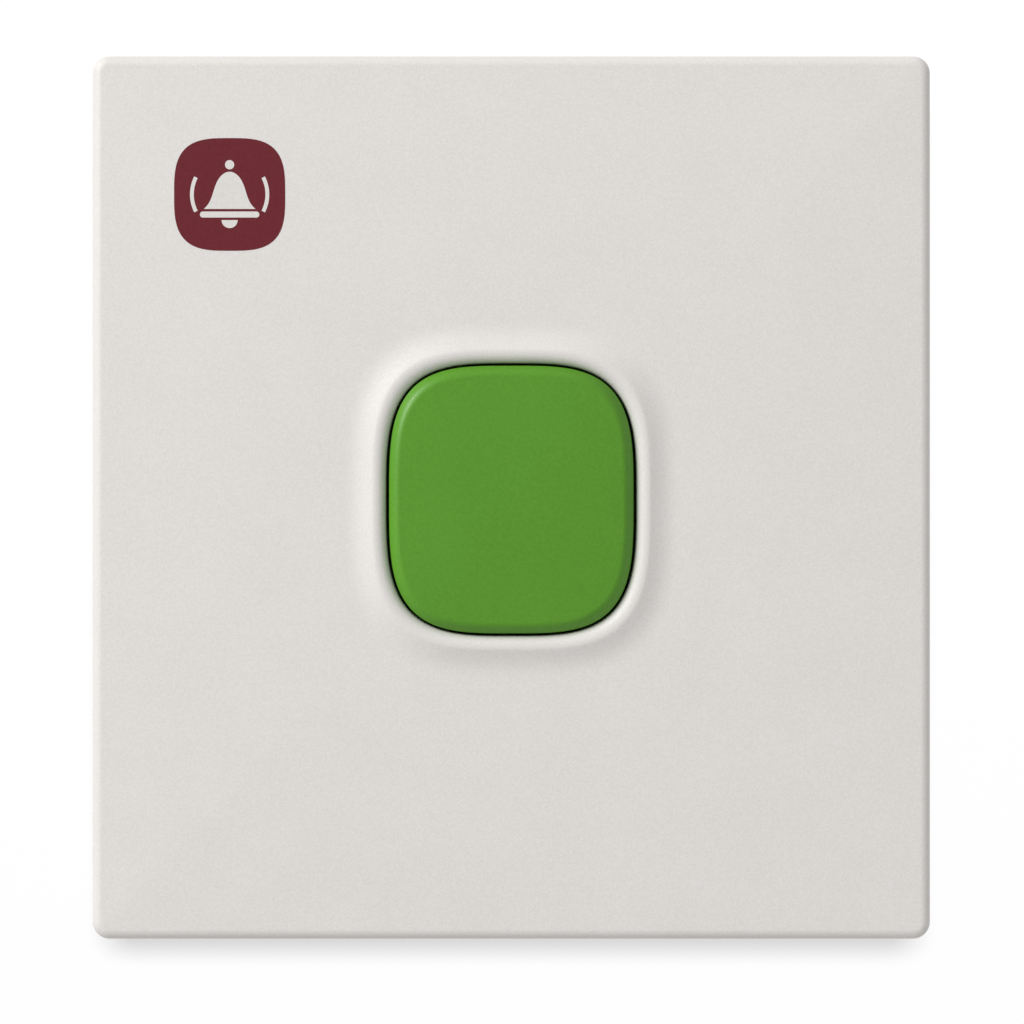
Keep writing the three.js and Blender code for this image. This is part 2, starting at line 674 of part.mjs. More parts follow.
// Round pin with a rim that keeps it under the roof of the switch.
function switchPlunger() {
  return turned([
    [0, plungerRimBottom],
    [PLUNGER_RADIUS + PLUNGER_RIM, plungerRimBottom],
    [PLUNGER_RADIUS + PLUNGER_RIM, plungerRimTop],
    [PLUNGER_RADIUS, plungerRimTop],
    [PLUNGER_RADIUS, plungerTop - PLUNGER_EDGE],
    [PLUNGER_RADIUS - PLUNGER_EDGE, plungerTop],
    [0, plungerTop],
  ]);
}

// Lamp package with a dished lens.
function statusLed() {
  const top = carrierBottom + LED_THICKNESS;
  const dish = turned([
    [0, top - LED_LENS_DEPTH],
    [LED_LENS_RADIUS - LED_LENS_NARROWING, top - LED_LENS_DEPTH],
    [LED_LENS_RADIUS, top],
    [LED_LENS_RADIUS, top + EMBED],
    [0, top + EMBED],
  ]);
  return without(block(LED_WIDTH, LED_HEIGHT, carrierBottom, top), solidOf(dish));
}

// Flat leads that stand out on both sides of a chip, each one strip right through it.
function chipLeads(bodyWidth, count, bottom, top) {
  return Array.from({ length: count }, (_, index) => {
    const y = (index - (count - 1) / 2) * CHIP_LEAD_PITCH;
    return block(bodyWidth + 2 * CHIP_LEAD_REACH, CHIP_LEAD_WIDTH, bottom, top, 0, y);
  });
}

function controllerChip() {
  const bottom = boardFront + CLEARANCE;
  const body = block(CONTROLLER_SIDE, CONTROLLER_SIDE, bottom, bottom + CONTROLLER_THICKNESS);
  const leadTop = bottom + CHIP_LEAD_THICKNESS;
  const leads = joined(...chipLeads(CONTROLLER_SIDE, CONTROLLER_LEADS, bottom, leadTop));
  return joined(body, leads, leads.rotate([0, 0, 90]));
}

function busChip() {
  const top = boardRear - CLEARANCE;
  const body = block(BUS_CHIP_WIDTH, BUS_CHIP_HEIGHT, top - BUS_CHIP_THICKNESS, top);
  return joined(body, ...chipLeads(BUS_CHIP_WIDTH, BUS_CHIP_LEADS, top - CHIP_LEAD_THICKNESS, top));
}

// Can capacitor on its square base, behind the board.
function smoothingCapacitor() {
  const top = boardRear - CLEARANCE;
  const baseBottom = top - CAPACITOR_BASE_THICKNESS;
  const outline = roundedShape(CAPACITOR_BASE, CAPACITOR_BASE, CAPACITOR_BASE_CORNER);
  const can = rod(CAPACITOR_RADIUS, top - CAPACITOR_HEIGHT, top - CAPACITOR_BASE_THICKNESS / 2);
  return slab(outline, baseBottom, top).add(can);
}

const pinPlaces = Array.from(
  { length: HEADER_PINS },
  (_, index) => HEADER_X + (index - (HEADER_PINS - 1) / 2) * HEADER_PITCH,
);

function circuitBoard() {
  const outline = roundedShape(2 * boardHalfWidth, 2 * boardHalfHeight, BOARD_CORNER_RADIUS);
  const pegHole = CARRIER_PEG_RADIUS + CLEARANCE;
  const pinHole = pinCorner + CLEARANCE;
  outline.holes.push(
    ...boardCorners.map(([x, y]) => circularHole(screwHoleRadius, x, y)),
    ...[-1, 1].map((side) =>
      circularHole(pegHole, side * CARRIER_PEG_X, side * CARRIER_PEG_Y - OPENING_DROP),
    ),
    ...pinPlaces.map((x) => circularHole(pinHole, x, headerY)),
  );
  return slab(outline, boardRear, boardFront);
}

// Pan-head screw with a crossed recess, driven from behind into a boss of the cover.
function boardScrew() {
  const seat = boardRear - CLEARANCE;
  const headEnd = seat - SCREW_HEAD_HEIGHT;
  const shank = SCREW_DIAMETER / 2;
  const tip = bossEnd + SCREW_BITE;
  const body = turned([
    [0, headEnd],
    [SCREW_HEAD_TOP_RADIUS, headEnd],
    [SCREW_HEAD_RADIUS, seat - SCREW_HEAD_RIM_HEIGHT],
    [SCREW_HEAD_RADIUS, seat],
    [shank, seat],
    [shank, tip - SCREW_POINT],
    [shank - SCREW_POINT, tip],
    [0, tip],
  ]);
  const slotEnd = headEnd + SCREW_SLOT_DEPTH;
  return without(
    solidOf(body),
    block(SCREW_SLOT_LENGTH, SCREW_SLOT_WIDTH, headEnd - EMBED, slotEnd),
    block(SCREW_SLOT_WIDTH, SCREW_SLOT_LENGTH, headEnd - EMBED, slotEnd),
  );
}

// Shrouded socket with a key slot in its lower wall and a clearance hole for each pin.
function headerShroud() {
  const floorLevel = headerBack - HEADER_FLOOR;
  const outside = block(
    headerInnerWidth + 2 * HEADER_WALL,
    HEADER_INNER_HEIGHT + 2 * HEADER_WALL,
    headerMouth,
    headerBack,
    HEADER_X,
    headerY,
  );
  const pinHole = PIN_SIDE + 2 * CLEARANCE;
  const mouth = headerMouth - EMBED;
  const keyEnd = headerMouth + HEADER_KEY_DEPTH;
  const keyY = headerY - (HEADER_INNER_HEIGHT + HEADER_WALL) / 2;
  return without(
    outside,
    block(headerInnerWidth, HEADER_INNER_HEIGHT, mouth, floorLevel, HEADER_X, headerY),
    block(HEADER_KEY_WIDTH, 2 * HEADER_WALL, mouth, keyEnd, HEADER_X, keyY),
    ...pinPlaces.map((x) =>
      block(pinHole, pinHole, floorLevel - EMBED, headerBack + EMBED, x, headerY),
    ),
  );
}

// Square pin with tapered ends: four flats turned about its axis.
function headerPin() {
  const tip = headerMouth + PIN_INSET;
  const tailEnd = boardFront + PIN_TAIL;
  const pin = turned(
    [
      [0, tip],
      [pinCorner - PIN_TAPER / 2, tip],
      [pinCorner, tip + PIN_TAPER],
      [pinCorner, tailEnd - PIN_TAPER],
      [pinCorner - PIN_TAPER / 2, tailEnd],
      [0, tailEnd],
    ],
    4,
  );
  return pin.rotateZ(Math.PI / 4);
}

const plateRing = (inset) =>
  rectangleRing(
    plateHalfWidth - inset,
    plateHalfHeight - inset,
    Math.max(plateCornerRadius - inset, CLEARANCE),
  );

function wallSlot(x, grown, bottom, top) {
  const width = WALL_SLOT_WIDTH + 2 * grown;
  const length = WALL_SLOT_LENGTH + 2 * grown;
  return slab(roundedShape(width, length, width / 2, x, 0), bottom, top);
}

function plateRibs() {
  const [bottom, top] = [PLATE_THICKNESS - EMBED, PLATE_THICKNESS + PLATE_RIB_HEIGHT];
  const tall = 2 * plateHalfHeight - RIM_WALL;
  const wide = 2 * plateHalfWidth - RIM_WALL;
  return joined(
    block(PLATE_RIB_WIDTH, tall, bottom, top, PLATE_RIB_X, 0),
    block(PLATE_RIB_WIDTH, tall, bottom, top, -PLATE_RIB_X, 0),
    block(wide, PLATE_RIB_WIDTH, bottom, top, 0, PLATE_RIB_Y),
  );
}

// Small bridge below the cable window, for a cable tie.
function tieBridge() {
  const y = TIE_BRIDGE_FOOT - plateHalfHeight;
  const top = PLATE_THICKNESS + TIE_BRIDGE_HEIGHT;
  const tunnelTop = PLATE_THICKNESS + TIE_TUNNEL_HEIGHT;
  return without(
    block(TIE_BRIDGE_WIDTH, TIE_BRIDGE_LENGTH, PLATE_THICKNESS - EMBED, top, 0, y),
    block(TIE_TUNNEL_WIDTH, 2 * TIE_BRIDGE_LENGTH, PLATE_THICKNESS, tunnelTop, 0, y),
  );
}

// Flat plate with a raised rim, slots for the wall-box screws and a window for the cable.
function mountingPlate() {
  const screwX = WALL_SCREW_SPACING / 2;
  const padTop = PLATE_THICKNESS + WALL_SLOT_PAD_HEIGHT;
  const frame = WINDOW_FRAME_WALL;
  const windowHeight = windowTop - windowBottom;
  const windowY = (windowTop + windowBottom) / 2;
  const windowOuter = roundedShape(
    WINDOW_WIDTH + 2 * frame,
    windowHeight + 2 * frame,
    WINDOW_CORNER_RADIUS + frame,
    0,
    windowY,
  );
  const window = roundedShape(WINDOW_WIDTH, windowHeight, WINDOW_CORNER_RADIUS, 0, windowY);
  const tray = without(
    loft([{ ring: plateRing(0), z: 0 }, { ring: plateRing(0), z: RIM_TOP }]),
    loft([
      { ring: plateRing(RIM_WALL), z: PLATE_THICKNESS },
      { ring: plateRing(RIM_WALL), z: RIM_TOP + EMBED },
    ]),
  );
  const groove = frameOf((grown) => plateRing(-grown), [
    [-GROOVE_INSET, -EMBED],
    [-GROOVE_INSET, GROOVE_DEPTH],
    [-GROOVE_INSET - GROOVE_WIDTH, GROOVE_DEPTH],
    [-GROOVE_INSET - GROOVE_WIDTH, -EMBED],
  ]);
  const hookTop = HOOK_BOTTOM + HOOK_HEIGHT;
  const hookWindows = [-HOOK_X, HOOK_X].map((x) =>
    block(
      HOOK_WIDTH + 2 * CLEARANCE,
      4 * RIM_WALL,
      HOOK_BOTTOM - CLEARANCE,
      hookTop + CLEARANCE,
      x,
      plateHalfHeight,
    ),
  );
  const low = -EMBED;
  return without(
    joined(
      tray,
      plateRibs(),
      tieBridge(),
      slab(windowOuter, PLATE_THICKNESS - EMBED, WINDOW_FRAME_TOP),
      wallSlot(screwX, WALL_SLOT_PAD, PLATE_THICKNESS - EMBED, padTop),
      wallSlot(-screwX, WALL_SLOT_PAD, PLATE_THICKNESS - EMBED, padTop),
    ),
    groove,
    slab(window, low, WINDOW_FRAME_TOP + EMBED),
    wallSlot(screwX, 0, low, padTop + EMBED),
    wallSlot(-screwX, 0, low, padTop + EMBED),
    bothWalls(joined(...hookWindows)),
  );
}

// Foam cord pressed flat against the wall, with rounded shoulders inside its groove.
function wallSeal() {
  const outer = -GROOVE_INSET - CLEARANCE;
  const inner = -GROOVE_INSET - GROOVE_WIDTH + CLEARANCE;
  const top = GROOVE_DEPTH - CLEARANCE;
  return frameOf((grown) => plateRing(-grown), [
    [outer, 0],
    [outer, top - FOAM_SHOULDER],
    [outer - FOAM_SHOULDER, top],
    [inner + FOAM_SHOULDER, top],
    [inner, top - FOAM_SHOULDER],
    [inner, 0],
  ]);
}

const finish = (color, roughness, metalness = 0) =>
  new THREE.MeshStandardMaterial({ color, roughness, metalness });

const coverPlastic = finish(0xdedad7, 0.62);
const platePlastic = finish(0xe6e5e1, 0.55);
const buttonPlastic = finish(0x5b9232, 0.42);
const blackRubber = finish(0x141414, 0.8);
const foamRubber = finish(0x2a2a2b, 0.95);
const carrierPlastic = finish(0xe9e8e2, 0.45);
const switchPlastic = finish(0x1c1c1e, 0.5);
const plungerPlastic = finish(0xb03a2e, 0.4);
const springSteel = finish(0xb9bcc0, 0.28, 1);
const boardLaminate = finish(0x1f5c3a, 0.4);
const chipEpoxy = finish(0x222325, 0.5);
const canAluminium = finish(0xc4c7cb, 0.35, 1);
const ledWhite = finish(0xf1f0e8, 0.35);
const headerPlastic = finish(0x2f7d4f, 0.45);
const tinnedBrass = finish(0xc9c6bd, 0.3, 1);
const screwSteel = finish(0xa9acb0, 0.32, 1);

function piece(name, shape, material, x = 0, y = 0) {
  const geometry = shape.isBufferGeometry ? shape : geometryOf(shape);
  const mesh = new THREE.Mesh(geometry, material);
  mesh.name = name;
  mesh.position.set(x, y, 0);
  return mesh;
}

// What is centred on the button.
function buttonGroup() {
  const group = new THREE.Group();
  const spring = returnSpring();
  const led = geometryOf(statusLed());
  group.add(
    piece("button_cap", buttonCap(), buttonPlastic),
    piece("button_seal", buttonSeal(), blackRubber),
    piece("spring_carrier", springCarrier(), carrierPlastic),
    piece("return_spring_left", spring, springSteel, -SPRING_X),
    piece("return_spring_right", spring, springSteel, SPRING_X),
    piece("switch_body", switchBody(), switchPlastic),
    piece("switch_plunger", switchPlunger(), plungerPlastic),
    piece("status_led_upper", led, ledWhite, 0, LED_Y),
    piece("status_led_lower", led, ledWhite, 0, -LED_Y),
  );
  group.position.y = -OPENING_DROP;
  return group;
}

function boardGroup() {
  const group = new THREE.Group();
  const screw = geometryOf(boardScrew());
  const pin = headerPin();
  const screwNames = ["upper_left", "upper_right", "lower_left", "lower_right"];
  group.add(
    piece("circuit_board", circuitBoard(), boardLaminate),
    piece("controller_chip", controllerChip(), chipEpoxy, CONTROLLER_X, upperRowY),
    piece("bus_chip", busChip(), chipEpoxy, BUS_CHIP_X, headerY),
    piece("smoothing_capacitor", smoothingCapacitor(), canAluminium, CAPACITOR_X, upperRowY),
    piece("header_shroud", headerShroud(), headerPlastic),
  );
  pinPlaces.forEach((x, index) => {
    group.add(piece(`header_pin_${index + 1}`, pin, tinnedBrass, x, headerY));
  });
  boardCorners.forEach(([x, y], index) => {
    group.add(piece(`board_screw_${screwNames[index]}`, screw, screwSteel, x, y));
  });
  return group;
}

const unit = new THREE.Group();
unit.add(
  piece("front_cover", frontCover(), coverPlastic),
  piece("mounting_plate", mountingPlate(), platePlastic),
  piece("wall_seal", wallSeal(), foamRubber),
  buttonGroup(),
  boardGroup(),
);
unit.rotation.x = Math.PI / 2;

export default unit;
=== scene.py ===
# %% [markdown]
# # A nurse call unit on a wall
#
# The real object is a small wall station: a nearly square cover of off-white plastic, moulded with
# a very fine sparked texture, and one large green push-button inside a soft raised lip. Behind the
# cover sit a circuit board, a switch and two springs, and a flat plate that is screwed to the wall.
#
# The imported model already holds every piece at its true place. This lesson dresses it: it swaps
# the pieces that the eye reads closely for fine surfaces of the same size, gives every other
# piece a material, and lights the whole as in the photograph.

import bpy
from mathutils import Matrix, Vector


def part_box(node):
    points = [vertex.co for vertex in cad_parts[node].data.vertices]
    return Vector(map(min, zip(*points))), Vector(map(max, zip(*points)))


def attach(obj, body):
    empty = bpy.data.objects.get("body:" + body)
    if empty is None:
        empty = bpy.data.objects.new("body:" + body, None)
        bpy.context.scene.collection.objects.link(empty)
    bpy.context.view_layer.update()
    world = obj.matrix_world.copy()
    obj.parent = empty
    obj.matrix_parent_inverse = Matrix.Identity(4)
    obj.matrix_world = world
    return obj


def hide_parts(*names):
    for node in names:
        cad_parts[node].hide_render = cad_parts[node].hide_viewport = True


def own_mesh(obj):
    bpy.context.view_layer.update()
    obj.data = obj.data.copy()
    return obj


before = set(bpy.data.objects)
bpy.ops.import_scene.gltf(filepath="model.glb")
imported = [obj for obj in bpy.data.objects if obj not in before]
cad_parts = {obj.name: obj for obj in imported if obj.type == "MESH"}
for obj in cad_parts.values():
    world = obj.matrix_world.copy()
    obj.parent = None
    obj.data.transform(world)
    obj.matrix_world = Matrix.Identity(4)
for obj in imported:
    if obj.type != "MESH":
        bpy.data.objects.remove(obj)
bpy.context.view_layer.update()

import math

import bpy
import numpy as np

# %% [markdown]
# ## One way of measuring
#
# The shapes are worked out in millimetres, as someone who faces the unit sees them: x to the
# right, y up, z out of the wall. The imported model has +Y into the wall and +Z up, in metres. So
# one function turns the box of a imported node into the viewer's frame, and later one line turns
# finished points back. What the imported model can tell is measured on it. The rest is named here.

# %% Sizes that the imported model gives
METRE = 1000.0


def box_of(node):
    """Lowest and highest corner of a node in the viewer's millimetres: x, then z, then minus y."""
    low, high = (np.array(corner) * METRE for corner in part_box(node))
    return np.array([low[0], low[2], -high[1]]), np.array([high[0], high[2], -low[1]])


cover_low, cover_high = box_of("front_cover")
cap_low, cap_high = box_of("button_cap")
# How far the flange stands out past the cap's skirt, and how high the lip rises over the face.
FLANGE_REACH, LIP_HEIGHT = 1.6, 0.7
COVER_HALF = (cover_high - cover_low)[:2] / 2
COVER_REAR = cover_low[2]
LIP_TOP = cover_high[2]
FACE = LIP_TOP - LIP_HEIGHT
BUTTON_CENTRE = (cap_low + cap_high)[:2] / 2
CAP_HALF = (cap_high - cap_low)[:2] / 2 - FLANGE_REACH
print("half cover", COVER_HALF, "face at", FACE, "half cap", CAP_HALF, "centre", BUTTON_CENTRE)

# %% Sizes of the mouldings
COVER_WALL = 2.0
COVER_DRAFT = 0.25
CORNER_RADIUS = 1.7
LEAST_RADIUS = 0.3
EDGE_RADIUS = 1.08
REAR_RADIUS = 0.25
NOTCH_HALF, NOTCH_RISE = 6.0, 1.3
BUTTON_GAP = np.array([0.34, 0.3])
OPENING_EXPONENT, CAP_EXPONENT = 3.4, 3.5
OPENING_HALF = CAP_HALF + BUTTON_GAP
LIP_ROUND, LIP_RUN, LIP_STEEPEST = 1.05, 3.4, 0.87
COLLAR_WALL, COLLAR_REACH = 1.6, 0.6
EMBED = 0.5
print("half opening", OPENING_HALF, "foot of the lip", LIP_ROUND + LIP_RUN, "mm outside it")

# %% [markdown]
# ## Surfaces from rings
#
# A moulding like this is easiest to describe by sections: a ring of points, and what becomes of
# it from one section to the next. If every ring has the same number of points, the rings stack
# into one array, and the faces between them follow from counting. A stack either closes on
# itself, like a picture frame, or ends in two caps. This one function makes every new piece.

# %% A closed body from a stack of rings


def volume_of(points, quads, triangles):
    """Signed volume: the sum of a . (b x c) / 6 over all triangles, with each quad cut in two."""
    faces = np.vstack([quads[:, [0, 1, 2]], quads[:, [0, 2, 3]], triangles])
    a, b, c = points[faces[:, 0]], points[faces[:, 1]], points[faces[:, 2]]
    return np.einsum("ij,ij->i", a, np.cross(b, c)).sum() / 6


def swept(rings, closed=False):
    """Body from rings (rings, points, xyz): quad (i, j) joins points j and j + 1 of rings i and
    i + 1. A closed sweep joins its last ring to its first; otherwise a fan closes each end."""
    rings = np.asarray(rings, dtype=float)
    count, around = rings.shape[:2]
    row = np.arange(count if closed else count - 1)[:, None] * around
    above = (row + around) % (count * around)
    column = np.arange(around)[None, :]
    beside = (column + 1) % around
    quads = np.stack([row + column, row + beside, above + beside, above + column], axis=-1)
    quads = quads.reshape(-1, 4)
    points = rings.reshape(-1, 3)
    triangles = np.empty((0, 3), dtype=int)
    if not closed:
        points = np.vstack([points, rings[0].mean(axis=0), rings[-1].mean(axis=0)])
        here, beside = column[0], beside[0]
        pole = np.full(around, count * around)
        last = (count - 1) * around
        first_fan = np.stack([pole, beside, here], axis=1)
        last_fan = np.stack([pole + 1, last + here, last + beside], axis=1)
        triangles = np.vstack([first_fan, last_fan])
    if volume_of(points, quads, triangles) < 0:
        quads, triangles = quads[:, ::-1], triangles[:, ::-1]
    return points, quads, triangles


def lifted(outline, level):
    """A flat outline (points, 2) at a level."""
    return np.column_stack([outline, np.full(len(outline), level)])


def prism(outline, low, high):
    """Straight body over a flat outline, between two levels."""
    return swept([lifted(outline, low), lifted(outline, high)])


# %% [markdown]
# A piece may hold several such bodies, as a moulding with its ribs does. They go into one mesh
# with `foreach_set`, which takes whole arrays. The faces are smooth, and an edge whose faces meet
# at more than a set angle is marked sharp, so that small roundings shine and true edges stay.

# %% A piece from closed bodies
SHARP_ANGLE = math.radians(38)


def piece(name, bodies, material, rides_on, stands_for=()):
    """One mesh from bodies in the viewer's frame: points (x, y, z) become (x, -z, y) in metres."""
    starts = np.cumsum([0] + [len(points) for points, _, _ in bodies])
    points = np.vstack([points for points, _, _ in bodies])
    quads = np.vstack([quads + start for (_, quads, _), start in zip(bodies, starts)])
    triangles = np.vstack([fans + start for (_, _, fans), start in zip(bodies, starts)])
    corners = np.concatenate([quads.ravel(), triangles.ravel()])
    sizes = np.concatenate([np.full(len(quads), 4), np.full(len(triangles), 3)])
    placed = np.column_stack([points[:, 0], -points[:, 2], points[:, 1]]) / METRE

    mesh = bpy.data.meshes.new(name)
    mesh.vertices.add(len(placed))
    mesh.vertices.foreach_set("co", placed.ravel())
    mesh.loops.add(len(corners))
    mesh.loops.foreach_set("vertex_index", corners.astype(np.int32))
    mesh.polygons.add(len(sizes))
    mesh.polygons.foreach_set("loop_start", (np.cumsum(sizes) - sizes).astype(np.int32))
    mesh.update(calc_edges=True)
    mesh.shade_smooth()
    mesh.set_sharp_from_angle(angle=SHARP_ANGLE)
    mesh.materials.append(material)
    made = bpy.data.objects.new(name, mesh)
    bpy.context.scene.collection.objects.link(made)
    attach(made, rides_on)
    if stands_for:
        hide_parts(*stands_for)
    print(f"{name}: {len(placed)} points, {len(sizes)} faces")
    return made


# %% [markdown]
# ## Colours and nodes
#
# A colour is written as the sRGB value that one would pick from a photograph. Blender's shaders
# work in linear light, so one function converts it. A second function adds a node with its
# settings and its links, and every material below is made with it.

# %% Helpers for materials
MIX_FIRST, MIX_SECOND, MIX_RESULT = 6, 7, 2  # colour sockets of a Mix node


def linear(hexadecimal):
    """Linear colour of an sRGB hex value c: c / 12.92 if dark, else ((c + 0.055) / 1.055)^2.4."""
    value = np.array([int(hexadecimal[start : start + 2], 16) for start in (1, 3, 5)]) / 255
    straight = np.where(value <= 0.04045, value / 12.92, ((value + 0.055) / 1.055) ** 2.4)
    return (*straight.tolist(), 1.0)


def add(tree, kind, inputs, **settings):
    """Adds a node and returns its sockets. Each input is a value or another node's socket."""
    made = tree.nodes.new(kind)
    for key, value in settings.items():
        setattr(made, key, value)
    for key, value in inputs.items():
        if isinstance(value, bpy.types.NodeSocket):
            tree.links.new(value, made.inputs[key])
        else:
            made.inputs[key].default_value = value
    return made.outputs


def empty_material(name):
    """A material with an empty node tree, and the Object coordinates that its patterns read."""
    material = bpy.data.materials.new(name)
    material.use_nodes = True
    tree = material.node_tree
    tree.nodes.clear()
    print("material", name)
    return material, tree, add(tree, "ShaderNodeTexCoord", {})["Object"]


# %% [markdown]
# ## Moulded finishes
#
# Most pieces are moulded, and a mould leaves its own skin on them. Polished steel leaves a gloss,
# sparked steel leaves fine craters, and slow cooling leaves faint clouds. So one function makes
# all moulded finishes from the size of the grain, its depth, and the roughness. The grain tilts
# the surface and changes the gloss. The colour shifts slightly with the grain, and less with the
# clouds.

# %% A moulded finish
CLOUD_MM, CLOUD_SHARE = 7.0, 0.2
GRAIN_GLOSS = 0.05
# Noise lies mostly between these values, alone and with its share of the clouds.
NOISE_RANGE = {"From Min": 0.3, "From Max": 0.7}
CLOUDED_RANGE = {"From Min": 0.4, "From Max": 0.8}


def moulded(name, pale, deep, rough, grain_mm, depth_mm, ior=1.5):
    """Finish whose colour goes from deep to pale with the grain plus a share of the clouds."""
    material, tree, place = empty_material(name)
    grain_size = {"Vector": place, "Scale": METRE / grain_mm, "Detail": 3.0, "Roughness": 0.6}
    grain = add(tree, "ShaderNodeTexNoise", grain_size)["Fac"]
    cloud_size = {"Vector": place, "Scale": METRE / CLOUD_MM, "Detail": 2.0}
    cloud = add(tree, "ShaderNodeTexNoise", cloud_size)["Fac"]
    weights = {0: cloud, 1: CLOUD_SHARE, 2: grain}
    both = add(tree, "ShaderNodeMath", weights, operation="MULTIPLY_ADD")["Value"]
    share = add(tree, "ShaderNodeMapRange", {"Value": both} | CLOUDED_RANGE)["Result"]
    ends = {0: share, MIX_FIRST: linear(deep), MIX_SECOND: linear(pale)}
    colour = add(tree, "ShaderNodeMix", ends, data_type="RGBA")[MIX_RESULT]
    gloss = {"Value": grain, "To Min": rough + GRAIN_GLOSS, "To Max": rough - GRAIN_GLOSS}
    roughness = add(tree, "ShaderNodeMapRange", gloss | NOISE_RANGE)["Result"]
    normal = add(tree, "ShaderNodeBump", {"Height": grain, "Distance": depth_mm / METRE})["Normal"]
    skin = {"Base Color": colour, "Roughness": roughness, "Normal": normal, "IOR": ior}
    surface = add(tree, "ShaderNodeBsdfPrincipled", skin)["BSDF"]
    add(tree, "ShaderNodeOutputMaterial", {"Surface": surface})
    return material


# %% [markdown]
# The housing plastics are styrene copolymers with an index of refraction near 1.5, so they
# reflect about 4 % at right angles. What tells them apart is the mould: the cover's is sparked,
# the button's is only blasted, and the pieces behind them come out of plain milled moulds. The
# button and the inks have a lower index here, because the photograph shows less gloss on them.

# %% Plastics that show in front
# Off-white ASA from a sparked mould: matt, with a grain that is just visible at arm's length.
cover_plastic = moulded("sparked_asa_off_white", "#E2DEDB", "#D8D4D0", 0.5, 0.21, 0.016)
# Green ASA from a blasted mould: satin, with softer lights and a grain that hardly shows.
button_plastic = moulded("satin_asa_green", "#569122", "#4E881A", 0.4, 0.27, 0.01, 1.38)
# Screen ink: even and dull, with the cover's grain still felt through the film.
maroon_ink = moulded("maroon_screen_ink", "#671F28", "#611922", 0.6, 0.24, 0.002, 1.3)
pale_ink = moulded("pale_screen_ink", "#E1DDDA", "#D8D4D0", 0.6, 0.24, 0.002, 1.3)

# %% Plastics and rubber behind the cover
# White styrene from a milled mould: slightly warmer and smoother than the cover.
plate_plastic = moulded("milled_styrene_white", "#E6E5E1", "#DFDED9", 0.45, 0.4, 0.003)
# Natural acetal: milky, waxy sheen.
carrier_plastic = moulded("natural_acetal", "#E9E8E2", "#E0DFD8", 0.35, 0.5, 0.001, 1.48)
# Black polyester of the switch: fine glass fibres make it dull.
switch_plastic = moulded("black_filled_polyester", "#1F1F21", "#161618", 0.55, 0.15, 0.004, 1.57)
# Red acetal of the plunger: waxy sheen.
plunger_plastic = moulded("red_acetal", "#B03A2E", "#A53428", 0.35, 0.5, 0.001, 1.48)
# Green polyamide of the header: satin.
header_plastic = moulded("green_polyamide", "#2F7D4F", "#2A7347", 0.42, 0.3, 0.002, 1.53)
# White lamp resin: glossy, with a little yellow.
lamp_resin = moulded("white_lamp_resin", "#F1F0E8", "#E9E8DF", 0.2, 0.4, 0.001, 1.53)
# Moulded epoxy of the chips: charcoal, with a fine matt grit.
chip_epoxy = moulded("charcoal_moulded_epoxy", "#26272A", "#1B1C1E", 0.6, 0.1, 0.005, 1.55)
# Silicone rubber: nearly black, dusty, no sharp light.
seal_rubber = moulded("black_silicone_rubber", "#1B1B1C", "#101011", 0.65, 0.4, 0.006, 1.41)

# %% [markdown]
# ## Foam, metal and circuit board
#
# Foam shows its cells, which a Voronoi texture draws as pits. Bare metal has its colour in the
# reflection, and its scratches run the way that it was drawn or turned: a Mapping node stretches
# the noise along that way. The circuit board is glass laminate under a green lacquer. Its copper
# tracks show as lighter lines, drawn where the nearest two cells of a square Voronoi meet.

# %% Closed-cell foam
CELL_MM, PIT_SHARE = 0.35, 0.25


def cell_foam(name, pale, deep):
    """Foam: height and colour follow the distance from the middle of the nearest cell, so the
    bottom of each pit is darker, as painted shade.
    """
    material, tree, place = empty_material(name)
    cell_size = {"Vector": place, "Scale": METRE / CELL_MM}
    cell = add(tree, "ShaderNodeTexVoronoi", cell_size)["Distance"]
    # The colour is darkest at the middle of each cell, the bottom of its pit: painted shade in the
    # pits.
    ends = {0: cell, MIX_FIRST: linear(deep), MIX_SECOND: linear(pale)}
    colour = add(tree, "ShaderNodeMix", ends, data_type="RGBA")[MIX_RESULT]
    pit_depth = PIT_SHARE * CELL_MM / METRE
    normal = add(tree, "ShaderNodeBump", {"Height": cell, "Distance": pit_depth})["Normal"]
    skin = {"Base Color": colour, "Roughness": 0.95, "Normal": normal, "IOR": 1.45}
    surface = add(tree, "ShaderNodeBsdfPrincipled", skin)["BSDF"]
    add(tree, "ShaderNodeOutputMaterial", {"Surface": surface})
    return material


# Black foam cord: dull, with open pits along its cut edge.
foam_rubber = cell_foam("black_cell_foam", "#38383A", "#18181A")

# %% Bare metals
SCRATCH_MM, SCRATCH_DEPTH_MM, SCRATCH_GLOSS = 0.12, 0.002, 0.08


def worked_metal(name, pale, deep, rough, squeeze):
    """Metal with scratches: noise whose scale along each axis is squeezed by its own factor."""
    material, tree, place = empty_material(name)
    along = add(tree, "ShaderNodeMapping", {"Vector": place, "Scale": squeeze})["Vector"]
    scratch_size = {"Vector": along, "Scale": METRE / SCRATCH_MM, "Detail": 3.0}
    scratch = add(tree, "ShaderNodeTexNoise", scratch_size)["Fac"]
    ends = {0: scratch, MIX_FIRST: linear(deep), MIX_SECOND: linear(pale)}
    colour = add(tree, "ShaderNodeMix", ends, data_type="RGBA")[MIX_RESULT]
    gloss = {"Value": scratch, "To Min": rough + SCRATCH_GLOSS, "To Max": rough - SCRATCH_GLOSS}
    roughness = add(tree, "ShaderNodeMapRange", gloss | NOISE_RANGE)["Result"]
    relief = {"Height": scratch, "Distance": SCRATCH_DEPTH_MM / METRE}
    normal = add(tree, "ShaderNodeBump", relief)["Normal"]
    skin = {"Base Color": colour, "Roughness": roughness, "Normal": normal, "Metallic": 1.0}
    surface = add(tree, "ShaderNodeBsdfPrincipled", skin)["BSDF"]
    add(tree, "ShaderNodeOutputMaterial", {"Surface": surface})
    return material


# Drawn spring wire: bright grey with long fine lines.
spring_steel = worked_metal("drawn_spring_steel", "#C3C6CA", "#9DA0A5", 0.28, (1.0, 0.4, 1.0))
